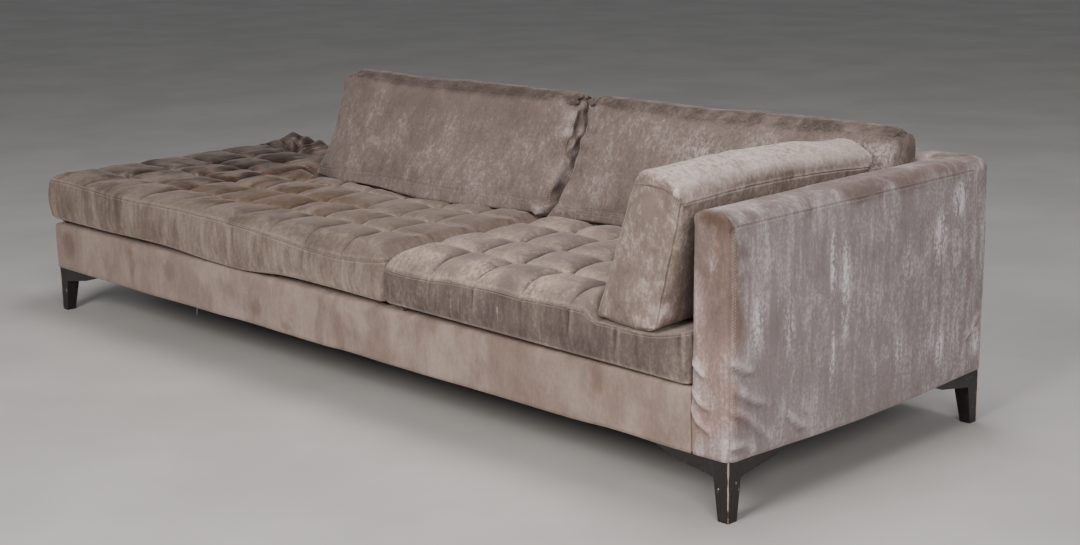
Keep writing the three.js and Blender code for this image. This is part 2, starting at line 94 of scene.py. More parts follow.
def make_softbox(name, place, target, size, power, colour):
    """An area lamp at a place, turned towards a target, so many watts strong."""
    data = bpy.data.lights.new(name, "AREA")
    data.shape = "RECTANGLE"
    data.size, data.size_y = size
    data.energy = power
    data.color = colour
    lamp = bpy.data.objects.new(name, data)
    bpy.context.collection.objects.link(lamp)
    lamp.location = place
    lamp.rotation_euler = (Vector(target) - Vector(place)).to_track_quat("-Z", "Y").to_euler()


def make_room_light():
    """Weak grey light from all round, as walls and ceiling give back."""
    world = bpy.data.worlds.new("studio")
    world.use_nodes = True
    background = world.node_tree.nodes["Background"]
    background.inputs["Color"].default_value = (0.80, 0.81, 0.83, 1)
    background.inputs["Strength"].default_value = 0.22
    bpy.context.scene.world = world


# ---------- colour and nodes ----------
def linear(hex_colour):
    """The linear colour of an sRGB hex colour."""
    parts = [int(hex_colour[i : i + 2], 16) / 255 for i in (1, 3, 5)]
    return (*[c / 12.92 if c <= 0.04045 else ((c + 0.055) / 1.055) ** 2.4 for c in parts], 1)


def add_node(tree, kind, settings=None, inputs=None):
    """A new node with its settings. An input is a value, or the (node, output) that it is linked from."""
    node = tree.nodes.new(kind)
    for key, value in (settings or {}).items():
        setattr(node, key, value)
    for key, value in (inputs or {}).items():
        if isinstance(value, tuple) and isinstance(value[0], bpy.types.Node):
            tree.links.new(value[0].outputs[value[1]], node.inputs[key])
        else:
            node.inputs[key].default_value = value
    return node


def new_material(name):
    """A material with an empty tree, and the tree's node that gives each point's place on the object."""
    material = bpy.data.materials.new(name)
    material.use_nodes = True
    tree = material.node_tree
    tree.nodes.clear()
    return material, tree, add_node(tree, "ShaderNodeTexCoord")


def weigh(tree, start, parts):
    """start plus each pattern times its weight, as one number."""
    total = start
    for pattern, weight in parts:
        inputs = {0: pattern, 1: weight, 2: total}
        total = (add_node(tree, "ShaderNodeMath", {"operation": "MULTIPLY_ADD"}, inputs), 0)
    return total


def cut(tree, start, parts, low, high):
    """Patterns weighed together and cut smoothly, from 0 where the sum is low to 1 where it is high."""
    inputs = {"Value": weigh(tree, start, parts), "From Min": low, "From Max": high}
    return (add_node(tree, "ShaderNodeMapRange", {"interpolation_type": "SMOOTHSTEP"}, inputs), 0)


def blotches(tree, place, size, stretch=(1, 1, 1), low=0.35, high=0.65, detail=3.0, roughness=0.55, bend=0.0):
    """A pattern from 0 to 1 whose blotches are about size metres across, times stretch along each axis."""
    scale = [1 / (size * s) for s in stretch]
    mapped = add_node(tree, "ShaderNodeMapping", inputs={"Vector": (place, "Object"), "Scale": scale})
    inputs = {"Vector": (mapped, 0), "Scale": 1.0, "Detail": detail}
    inputs.update({"Roughness": roughness, "Distortion": bend})
    cloud = add_node(tree, "ShaderNodeTexNoise", inputs=inputs)
    return cut(tree, 0.0, [((cloud, 0), 1.0)], low, high)


RAGGED_EDGE = 1.2  # how far a patch's edge wanders, as a share of its radius


def patch(tree, place, centre, radii, ragged, soft):
    """1 inside an oval patch and 0 outside it.

    ragged is a pattern that tears the patch's edge, and soft is how far the edge fades, as a share.
    """
    offset = [-c / r for c, r in zip(centre, radii)]
    inputs = {"Vector": (place, "Object"), "Scale": [1 / r for r in radii], "Location": offset}
    mapped = add_node(tree, "ShaderNodeMapping", inputs=inputs)
    away = add_node(tree, "ShaderNodeVectorMath", {"operation": "LENGTH"}, {0: (mapped, 0)})
    parts = [((away, "Value"), 1.0), (ragged, RAGGED_EDGE)]
    return cut(tree, -RAGGED_EDGE / 2, parts, 1 + soft, 1 - soft)


def shaded(tree, value, colours, over=(), blend="MIX"):
    """Colours spread evenly as value runs from 0 to 1. over is (amount, colour) pairs laid over them."""
    spread = add_node(tree, "ShaderNodeValToRGB", inputs={"Fac": value})
    stops = spread.color_ramp.elements
    while len(stops) < len(colours):
        stops.new(0.5)
    for i, colour in enumerate(colours):
        stops[i].position = i / (len(colours) - 1)
        stops[i].color = linear(colour)
    result = (spread, 0)
    for amount, colour in over:
        inputs = {0: amount, 6: result, 7: linear(colour)}
        result = (add_node(tree, "ShaderNodeMix", {"data_type": "RGBA", "blend_type": blend}, inputs), 2)
    return result


def finish_material(tree, relief=(), **inputs):
    """The surface shader with its inputs, named as its sockets are with _ for a space.

    relief is patterns that stand up from the surface, each with its height in metres and its strength.
    """
    normal = {}
    for pattern, height, strength in relief:
        raised = {"Height": pattern, "Distance": height, "Strength": strength, **normal}
        normal = {"Normal": (add_node(tree, "ShaderNodeBump", inputs=raised), 0)}
    given = {key.replace("_", " "): value for key, value in inputs.items()}
    shader = add_node(tree, "ShaderNodeBsdfPrincipled", inputs={**given, **normal})
    add_node(tree, "ShaderNodeOutputMaterial", inputs={"Surface": (shader, 0)})


# ---------- velvet ----------
def make_velvet(
    name,
    colours,
    nap=(1, 1, 4),
    stroke=0.015,
    clouds=0.16,
    streaks=0.16,
    flecks=0.14,
    crushed=0.0,
    lean=(0, 0, 0),
    laid=(),
    stains_and_shade=(),
):
    """Crushed velvet: cut viscose pile, pressed flat in streaks and patches by use.

    Pile that lies away from the eye is dark and pile that lies towards it is pale, so one dyed colour
    shows as clouds a hand wide, streaks along the nap, a stroke wide, and flecks a few millimetres
    wide. colours run from the darkest to the palest tone. lean is the direction of a painted light:
    slopes that face it are painted paler and slopes that face away are painted darker. laid gives
    patches where the pile lies one way, and a few patches of painted light and shade. The stain
    patches give another tint, and one of them is painted shade. The pile is also rubbed pale on worn
    ridges and painted dark with shade and some soiling in folds and grooves, as the mesh's attribute
    of wear and painted shade says; that attribute also holds painted light and shade by slope.
    """
    material, tree, place = new_material(name)
    fleck = blotches(tree, place, 0.0070, (1, 1, 1.4), 0.28, 0.72, detail=4, roughness=0.75)
    cloud = blotches(tree, place, 0.11, (1, 1, 1.4), 0.30, 0.70, detail=4, bend=0.5)
    streak = blotches(tree, place, stroke, nap, 0.27, 0.73, detail=4, roughness=0.6, bend=0.3)
    flat = cut(tree, 0.0, [(streak, 0.6), (cloud, 0.5), (fleck, 0.6)], 0.90, 1.50)
    # painted light and shade: the pile is painted paler on slopes that face lean and darker on those that face
    # away, and the mesh's attribute adds worn ridges and painted shade in folds
    facing = add_node(tree, "ShaderNodeNewGeometry")
    towards = {0: (facing, "Normal"), 1: lean}
    leaning = add_node(tree, "ShaderNodeVectorMath", {"operation": "DOT_PRODUCT"}, towards)
    rubbed = add_node(tree, "ShaderNodeAttribute", {"attribute_name": "rub"})
    parts = [(cloud, clouds), (streak, streaks), (fleck, flecks), (flat, crushed)]
    parts += [((leaning, "Value"), 1.0), ((rubbed, "Fac"), 1.0)]
    lie_and_shade = weigh(tree, 0.5 - (clouds + streaks + flecks) / 2, parts)
    torn = weigh(tree, 0.0, [(streak, 0.7), (fleck, 0.3)])
    grain = cut(tree, 0.0, [(streak, 0.6), (fleck, 0.6)], 0.40, 0.95)
    for centre, radii, shift in laid:
        amount = weigh(tree, 0.2 * shift, [(grain, 1.9 * shift)])
        lie_and_shade = weigh(tree, lie_and_shade, [(patch(tree, place, centre, radii, torn, soft=0.5), amount)])
    stained_and_shaded = []
    for centre, radii, tint_colour, amount in stains_and_shade:
        edge = patch(tree, place, centre, radii, cloud, soft=0.6)
        stained_and_shaded.append((weigh(tree, 0.0, [(edge, amount)]), tint_colour))
    # A tuft of pile is a third of a millimetre wide. It is drawn five times as coarse, so that it shows.
    pile = blotches(tree, place, 0.0016, (1, 1, 2), 0.3, 0.7, detail=2)
    finish_material(
        tree,
        relief=[(cloud, 0.003, 0.3), (streak, 0.0010, 0.5), (pile, 0.0004, 0.4)],
        Base_Color=shaded(tree, lie_and_shade, colours, stained_and_shaded, "MULTIPLY"),
        Roughness=0.75,
        Sheen_Weight=0.3,
        Sheen_Roughness=0.35,
        Sheen_Tint=linear("#eadfd9"),
        Specular_IOR_Level=0.15,
    )
    return material


# ---------- numbers ----------
SCATTER = (73856093, 19349663, 83492791, 2654435761)  # large primes that scatter x, y, z and the seed


def noise(points, size, seed, stretch=(1, 1, 1)):
    """Smooth noise from -1 to 1 at each point, with lumps about size metres across."""
    scaled = points / (size * np.array(stretch)) + seed * 17.31
    cell = np.floor(scaled).astype(np.int64)
    part = scaled - cell
    part = part**3 * (part * (part * 6 - 15) + 10)
    total = np.zeros(len(points))
    for corner in np.ndindex(2, 2, 2):
        x, y, z = (cell + corner).T
        code = (x * SCATTER[0]) ^ (y * SCATTER[1]) ^ (z * SCATTER[2]) ^ (seed * SCATTER[3])
        code = ((code ^ (code >> 13)) * 1274126177) & 0xFFFFFFFF
        value = ((code >> 8) & 0xFFFF) / 32767.5 - 1
        weight = np.where(corner, part, 1 - part).prod(axis=1)
        total += weight * value
    return total


def layered(points, *layers, start=0):
    """Noises added up on a start. Each has its size, its seed, its height and, if it has one, its stretch."""
    total = start
    for size, seed, height, *stretch in layers:
        total = total + noise(points, size, seed, *stretch) * height
    return total


def smooth_step(value, low, high):
    """0 up to low and 1 from high on, with a smooth rise between them."""
    t = np.clip((value - low) / (high - low), 0, 1)
    return t * t * (3 - 2 * t)


def hill(value, middle, width):
    """1 at the middle, falling smoothly to nothing a few widths away."""
    return np.exp(-(((value - middle) / width) ** 2))


def smooth_line(points, at):
    """A smooth line through (place, value) points, read at each place in at."""
    places, values = np.array(points).T
    slopes = np.gradient(values, places)
    i = np.clip(np.searchsorted(places, at) - 1, 0, len(places) - 2)
    width = places[i + 1] - places[i]
    t = np.clip((at - places[i]) / width, 0, 1)
    return (
        (2 * t**3 - 3 * t**2 + 1) * values[i]
        + (t**3 - 2 * t**2 + t) * width * slopes[i]
        + (3 * t**2 - 2 * t**3) * values[i + 1]
        + (t**3 - t**2) * width * slopes[i + 1]
    )


def to_path(points, path):
    """Each point's distance to a path of straight lines, and how far along it that is, from 0 to 1."""
    best = np.full(len(points), 1e9)
    along = np.zeros(len(points))
    path = np.array(path, float)
    total = len(path) - 1
    for i in range(total):
        span = path[i + 1] - path[i]
        t = np.clip((points - path[i]) @ span / (span @ span), 0, 1)
        gap = np.linalg.norm(points - path[i] - t[:, None] * span, axis=1)
        nearer = gap < best
        best = np.where(nearer, gap, best)
        along = np.where(nearer, (i + t) / total, along)
    return best, along


GROOVE_BELOW, GROOVE_DEPTH, GROOVE_WIDTH = 1.3, 1.1, 0.6  # a wrinkle's groove, as shares of its ridge


def wrinkle(points, path, width, height):
    """A drag wrinkle along a path: a soft ridge with a sharper groove under it, both fading at the ends."""
    path = np.array(path, float)
    away, along = to_path(points, path)
    below, _ = to_path(points, path - (0, 0, GROOVE_BELOW * width))
    fade = smooth_step(along, 0, 0.2) * smooth_step(1 - along, 0, 0.35)
    return height * fade * (hill(away, 0, width) - GROOVE_DEPTH * hill(below, 0, GROOVE_WIDTH * width))


SEAM_HALF = 0.0045  # from a seam to the row of stitches on each side


def seam_relief(away):
    """How a topstitched seam stands out: a narrow groove between two low ridges."""
    return 0.0005 * hill(np.abs(away), SEAM_HALF, 0.0018) - 0.0010 * hill(away, 0, 0.0012)


# painted shade darkens a seam's groove, with some soiling, and its ridges are paler worn pile; these say how
# strongly, and how far either way
SHADE_AND_WEAR_PER_METRE = 170  # how strongly the relief of a seam shows in the pile
SHADE_AND_WEAR_RANGE = (-0.6, 0.35)  # the darkest and the palest that it may make the pile


# ---------- meshes ----------
def make_object(name, points, faces, material):
    """A smooth mesh of one material, as an object at the origin."""
    mesh = bpy.data.meshes.new(name)
    mesh.from_pydata(np.asarray(points).tolist(), [], faces)
    mesh.shade_smooth()
    mesh.materials.append(material)
    piece = bpy.data.objects.new(name, mesh)
    bpy.context.collection.objects.link(piece)
    return piece


def points_of(piece):
    flat = np.empty(len(piece.data.vertices) * 3)
    piece.data.vertices.foreach_get("co", flat)
    return flat.reshape(-1, 3)


def normals_of(piece):
    flat = np.empty(len(piece.data.vertices) * 3)
    piece.data.vertices.foreach_get("normal", flat)
    return flat.reshape(-1, 3)


def move_points(piece, points):
    piece.data.vertices.foreach_set("co", np.asarray(points).ravel())
    piece.data.update()


def swell(piece, amount):
    """Moves each point of a piece along its normal."""
    move_points(piece, points_of(piece) + amount[:, None] * normals_of(piece))


def rub(piece, amount):
    """Marks where the pile is rubbed pale by wear, above 0, and where it is painted dark as shade, with some
    soiling, in folds, grooves and dents, below 0. It also holds painted light and shade by slope.
    """
    layer = piece.data.attributes.new("rub", "FLOAT", "POINT")
    layer.data.foreach_set("value", np.clip(amount, *SHADE_AND_WEAR_RANGE))


def apply_modifiers(piece):
    """Replaces a piece's mesh with what its modifiers make of it."""
    depsgraph = bpy.context.evaluated_depsgraph_get()
    made = bpy.data.meshes.new_from_object(piece.evaluated_get(depsgraph))
    piece.modifiers.clear()
    piece.data = made
    made.shade_smooth()


def grid_lines(low, high, step, round_low=0.0, round_high=0.0, seams=()):
    """Grid lines about a step apart, closer together where an edge is rounded and beside each seam."""
    count = max(2, round((high - low - round_low - round_high) / step) + 1)
    turn = 1 - np.tan(np.linspace(math.pi / 4, 0, 6)[:-1])  # even angles once the edge is rounded
    lines = [np.linspace(low + round_low, high - round_high, count)]
    if round_low:
        lines.append(low + round_low * turn)
    if round_high:
        lines.append(high - round_high * turn)
    return with_seams(np.sort(np.concatenate(lines)), seams)


def with_seams(lines, seams):
    """Puts fine lines beside each seam in place of the grid lines that are near it."""
    for seam in seams:
        fine = seam + SEAM_HALF * np.array([-2, -1.5, -1, -0.6, -0.3, 0, 0.3, 0.6, 1, 1.5, 2])
        fine = fine[(fine >= lines[0]) & (fine <= lines[-1])]
        inner = lines[1:-1]
        kept = inner[(inner < fine[0] - 0.0012) | (inner > fine[-1] + 0.0012)]
        lines = np.unique(np.concatenate([[lines[0]], kept, fine, [lines[-1]]]))
    return lines


def box_shell(xs, ys, zs, keep=None):
    """The six faces of a box as grids on the given lines. keep says of a face's middle if it stays."""
    lines = (xs, ys, zs)
    index, points, faces = {}, [], []

    def corner(key):
        if key not in index:
            index[key] = len(points)
            points.append([lines[a][key[a]] for a in range(3)])
        return index[key]

    for axis in range(3):
        a, b = (axis + 1) % 3, (axis + 2) % 3
        for end in (0, len(lines[axis]) - 1):
            for i in range(len(lines[a]) - 1):
                for j in range(len(lines[b]) - 1):
                    middle = [0, 0, 0]
                    middle[axis] = lines[axis][end]
                    middle[a] = (lines[a][i] + lines[a][i + 1]) / 2
                    middle[b] = (lines[b][j] + lines[b][j + 1]) / 2
                    if keep and not keep(*middle):
                        continue
                    quad = []
                    for da, db in ((0, 0), (1, 0), (1, 1), (0, 1)):
                        key = [0, 0, 0]
                        key[axis], key[a], key[b] = end, i + da, j + db
                        quad.append(corner(tuple(key)))
                    faces.append(quad if end else quad[::-1])
    return np.array(points, float), faces


def rounded(points, low, high, radii):
    """Rounds the edges of points that lie on a box. The radius differs along each axis."""
    low, high, radii = (np.array(v, float) for v in (low, high, radii))
    core = np.clip(points, low + radii, high - radii)
    away = (points - core) / radii
    length = np.linalg.norm(away, axis=1, keepdims=True)
    return core + radii * away / np.maximum(length, 1e-9)


def round_edge(points, axes, corner, inward, radius):
    """Rounds one straight edge of a shell. inward is the sign, along both axes, that leads into the body."""
    (a, b), (sign_a, sign_b) = axes, inward
    away_a = radius - (points[:, a] - corner[0]) * sign_a
    away_b = radius - (points[:, b] - corner[1]) * sign_b
    near = (away_a > 0) & (away_b > 0)
    shrink = np.maximum(away_a, away_b) / np.maximum(np.hypot(away_a, away_b), 1e-9)
    shrink = np.where(near, shrink, 1)
    points = points.copy()
    points[:, a] = corner[0] + (radius - away_a * shrink) * sign_a
    points[:, b] = corner[1] + (radius - away_b * shrink) * sign_b
    return points


THREAD_LIFT = 0.0003  # from the cloth to the middle of a stitch


def on_surface(piece, path):
    """The nearest place on a piece to each point of a path, lifted just clear of the cloth."""
    tree = BVHTree.FromPolygons(points_of(piece).tolist(), [list(f.vertices) for f in piece.data.polygons])
    landed = []
    for point in path:
        place, normal, _, _ = tree.find_nearest(Vector(point))
        landed.append(place + normal * THREAD_LIFT)
    return landed


# ---------- stitches ----------
STITCH_PITCH, STITCH_LENGTH, THREAD_WIDTH = 0.0068, 0.0050, 0.0012


def stitch_rows_tree():
    """Geometry nodes that lay one short thread at every step along each path of edges."""
    tree = bpy.data.node_groups.new("stitch_rows", "GeometryNodeTree")
    sockets = {}
    for label, kind, value in (
        ("Paths", "NodeSocketGeometry", None),
        ("Pitch", "NodeSocketFloat", STITCH_PITCH),
        ("Length", "NodeSocketFloat", STITCH_LENGTH),
        ("Width", "NodeSocketFloat", THREAD_WIDTH),
        ("Seed", "NodeSocketInt", 5),
        ("Thread", "NodeSocketMaterial", None),
    ):
        socket = tree.interface.new_socket(label, in_out="INPUT", socket_type=kind)
        if value is not None:
            socket.default_value = value
        sockets[label] = socket.identifier
    tree.interface.new_socket("Stitches", in_out="OUTPUT", socket_type="NodeSocketGeometry")
    given = add_node(tree, "NodeGroupInput")
    curves = add_node(tree, "GeometryNodeMeshToCurve", inputs={"Mesh": (given, "Paths")})
    inputs = {"Curve": (curves, "Curve"), "Length": (given, "Pitch")}
    steps = add_node(tree, "GeometryNodeResampleCurve", {"mode": "LENGTH"}, inputs)
    bead = add_node(tree, "GeometryNodeMeshUVSphere", inputs={"Segments": 6, "Rings": 3, "Radius": 0.5})
    along = add_node(tree, "GeometryNodeInputTangent")
    turned = add_node(tree, "FunctionNodeAlignRotationToVector", {"axis": "Z"}, {"Vector": (along, 0)})
    inputs = {2: 0.8, 3: 1.1, "Seed": (given, "Seed")}
    uneven = add_node(tree, "FunctionNodeRandomValue", {"data_type": "FLOAT"}, inputs)
    long = add_node(tree, "ShaderNodeMath", {"operation": "MULTIPLY"}, {0: (given, "Length"), 1: (uneven, 1)})
    inputs = {"X": (given, "Width"), "Y": (given, "Width"), "Z": (long, 0)}
    size = add_node(tree, "ShaderNodeCombineXYZ", inputs=inputs)
    inputs = {"Points": (steps, 0), "Instance": (bead, 0), "Rotation": (turned, 0), "Scale": (size, 0)}
    laid = add_node(tree, "GeometryNodeInstanceOnPoints", inputs=inputs)
    real = add_node(tree, "GeometryNodeRealizeInstances", inputs={"Geometry": (laid, 0)})
    inputs = {"Geometry": (real, 0), "Material": (given, "Thread")}
    dyed = add_node(tree, "GeometryNodeSetMaterial", inputs=inputs)
    add_node(tree, "NodeGroupOutput", inputs={"Stitches": (dyed, 0)})
    return tree, sockets


def make_stitches(name, paths, material):
    """Rows of stitches along paths of points that lie on the cloth."""
    points, edges = [], []
    for path in paths:
        edges += [(len(points) + k, len(points) + k + 1) for k in range(len(path) - 1)]
        points += [tuple(point) for point in path]
    mesh = bpy.data.meshes.new(name)
    mesh.from_pydata(points, edges, [])
    piece = bpy.data.objects.new(name, mesh)
    bpy.context.collection.objects.link(piece)
    tree, sockets = stitch_rows_tree()
    modifier = piece.modifiers.new("stitches", "NODES")
    modifier.node_group = tree
    modifier[sockets["Thread"]] = material
    apply_modifiers(piece)
    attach(piece, "root")


# ---------- tufted seat cushions ----------
TUFT_STEP = 0.1637
PLEAT_LINES = 24  # grid steps from one row of tufts to the next
PLEAT_WIDTH = 0.062  # from a pleat to where the puff beside it is full
SEAT_RESTS = 0.2885  # how high the cushions' undersides lie


def tuft_grid(edge_low, tufts, edge_high):
    """Grid lines that run close together near each row of tufts, where the cloth folds in."""
    keys = [edge_low, *tufts, edge_high]
    cells = []
    for low, high in zip(keys, keys[1:]):
        count = round(PLEAT_LINES * max(0.4, (high - low) / TUFT_STEP))
        t = np.linspace(0, 1, count + 1)[:-1]
        cells.append(low + (high - low) * (0.2 * t + 0.8 * (1 - np.cos(math.pi * t)) / 2))
    lines = np.append(np.concatenate(cells), edge_high)
    return with_seams(lines, (edge_low, edge_high))


def snap(lines, value):
    """Moves the nearest grid line to a value."""
    lines[np.abs(lines - value).argmin()] = value
    return lines


def to_nearest(at, keys):
    """The distance from each place to the nearest key."""
    return np.abs(at[:, None] - np.array(keys)[None]).min(axis=1)


def fold_in(away):
    """1 in a pleat and 0 where the puff is full, steep at first like stuffed cloth."""
    t = np.clip(away / PLEAT_WIDTH, 0, 1)
    return 0.85 * (1 - (1 - (1 - t) ** 2) ** 0.6) + 0.15 * np.exp(-away / 0.0025)


def tuft_hollows(x, y, columns, rows, tuft_depth, pleat_depth):
    """How far the cover lies below the tops of the puffs, pulled in by pleats that join the tufts."""
    from_column, from_row = to_nearest(x, columns), to_nearest(y, rows)
    extra = tuft_depth - pleat_depth
    column_depth = pleat_depth + extra * (1 - smooth_step(from_row, 0, 0.06)) ** 1.5
    row_depth = pleat_depth + extra * (1 - smooth_step(from_column, 0, 0.06)) ** 1.5
    sides = (column_depth * fold_in(from_column)) ** 3 + (row_depth * fold_in(from_row)) ** 3
    return sides ** (1 / 3)


def tuft_creases(x, y, columns, rows, seed):
    """Small creases that run out from each tuft like the rays of a star."""
    total = np.zeros(len(x))
    for i, column in enumerate(columns):
        for j, row in enumerate(rows):
            away = np.hypot(x - column, y - row)
            angle = np.arctan2(y - row, x - column)
            phase = math.sin(seed + 12.9 * i + 78.2 * j) * 3  # so that no two stars are turned alike
            total += np.sin(8 * angle + phase) * np.exp(-away / 0.02) * smooth_step(away, 0.002, 0.012)
    return total


class Pad:
    """The plan of a tufted cushion: a grid of points, the faces between them and the outline in order."""

    def __init__(self, xs, ys, corner_radius, inside=None):
        self.index, self.faces, plan = {}, [], []
        for i in range(len(xs) - 1):
            for j in range(len(ys) - 1):
                if inside and not inside((xs[i] + xs[i + 1]) / 2, (ys[j] + ys[j + 1]) / 2):
                    continue
                face = []
                for key in ((i, j), (i + 1, j), (i + 1, j + 1), (i, j + 1)):
                    if key not in self.index:
                        self.index[key] = len(plan)
                        plan.append((xs[key[0]], ys[key[1]]))
                    face.append(self.index[key])
                self.faces.append(face)
        self.square = np.array(plan)
        self.plan = self.square
        for x, inward_x in ((xs[0], 1), (xs[-1], -1)):
            for y, inward_y in ((ys[0], 1), (ys[-1], -1)):
                self.plan = round_edge(self.plan, (0, 1), (x, y), (inward_x, inward_y), corner_radius)
        self.rim = self.find_rim()

    def flat(self):
        """The plan's points at no height, to read patterns at."""
        return np.column_stack([self.plan, np.zeros(len(self.plan))])

    def find_rim(self):
        """The outline's points, anticlockwise from above."""
        edges = {(f[k], f[(k + 1) % 4]) for f in self.faces for k in range(4)}
        onward = {a: b for a, b in edges if (b, a) not in edges}
        start = min(onward)
        rim = [start]
        while onward[rim[-1]] != start:
            rim.append(onward[rim[-1]])
        return np.array(rim)

    def from_edge(self):
        """Each top point's distance from the outline."""
        count = len(self.rim)
        fence = [(*self.plan[i], z) for z in (-1, 1) for i in self.rim]
        panels = [(k, (k + 1) % count, count + (k + 1) % count, count + k) for k in range(count)]
        tree = BVHTree.FromPolygons(fence, panels)
        return np.array([tree.find_nearest((x, y, 0))[3] for x, y in self.plan])

    def outward(self):
        """The level direction out of the cushion at each point of the outline."""
        loop = self.plan[self.rim]
        along = np.roll(loop, -4, axis=0) - np.roll(loop, 4, axis=0)
        out = np.column_stack([along[:, 1], -along[:, 0]])
        return out / np.linalg.norm(out, axis=1, keepdims=True)


def pad_top(pad, crown, seam, edge_round, columns, rows, depths, present, seed):
    """Height of the cover over the pad: a crown that rounds down to the seam, less the tufts' hollows.

    present says how sharp the pleats are at each point. Also gives the pile's wear and painted shade there:
    painted shade in the seam's groove and along the pleats, and paler worn pile on the seam's ridges.
    """
    x, y = pad.square.T
    flat = pad.flat()
    edge = pad.from_edge()
    # the cover rounds down to the seam along the outline
    reach = 1 - np.clip(edge / edge_round, 0, 1)
    drop = 0.35 * reach + 0.65 * (1 - (1 - reach**2) ** 0.75)
    # the hollows differ from puff to puff, and are shallower near the edge and where the pleats have worn away
    near_edge = 0.45 + 0.55 * smooth_step(edge, 0.0, 0.09)
    fullness = (1 + 0.42 * noise(flat, 0.17, seed + 7)) * (0.45 + 0.55 * present)
    hollow = tuft_hollows(x, y, columns, rows, *depths) * near_edge * fullness
    creases = tuft_creases(x, y, columns, rows, seed)
    fine = (0.03, seed + 4, 0.0008, (1, 1.8, 1))
    soft = layered(flat, (0.35, seed + 2, 0.003), (0.085, seed + 3, 0.0028), fine) + creases * 0.0022
    height = crown + soft * smooth_step(edge, 0, 0.05)
    top = seam + (height - seam) * (1 - drop) - hollow * (0.35 + 0.65 * (1 - drop))
    from_pleat = np.minimum(to_nearest(x, columns), to_nearest(y, rows))
    # painted shade: the seam's groove and the pleats are painted darker, the seam's ridges paler as worn pile,
    # and the star creases paler where they rise and darker where they sink
    rubbed = seam_relief(edge) * SHADE_AND_WEAR_PER_METRE + creases * 0.10
    rubbed -= 0.38 * present * np.exp(-from_pleat / 0.0030) * smooth_step(edge, 0.0, 0.02)
    return top + seam_relief(edge), rubbed


def wander(pad, seed):
    """Shifts the pad's plan a little, so that no row of tufts is quite straight."""
    flat = pad.flat()
    fade = smooth_step(pad.from_edge(), 0.004, 0.08)
    shift = np.column_stack([noise(flat, 0.14, seed), noise(flat, 0.14, seed + 1)]) * 0.021
    pad.plan = pad.plan + shift * fade[:, None]


# rows of points down a cushion's wall, in metres below its seam and then as shares of the wall's height
WALL_TOP_ROWS = SEAM_HALF * np.array([0.3, 0.6, 1.0, 1.5, 2.0])
WALL_ROWS = np.array([0.16, 0.23, 0.30, 0.37, 0.44, 0.51, 0.58, 0.65, 0.72, 0.79, 0.86, 0.93, 1.0])
# noise on the walls as size, seed, height and stretch, for their folds and for how the pile lies there
WALL_FOLDS = ((0.030, 11, 0.0022, (1, 1, 6)), (0.013, 13, 0.0008, (1, 1, 5)), (0.11, 12, 0.0040, (1, 1, 2)))
WALL_STREAKS = ((0.010, 14, 0.07, (1, 1, 7)), (0.027, 15, 0.08, (1, 1, 4)))
DEEPEST_DENT = 0.007  # where a pleat pulls the front wall in
FOOT_ROUND = 0.011
UNDER_SLOPE = 0.045  # how far in from its edge the underside comes down to rest


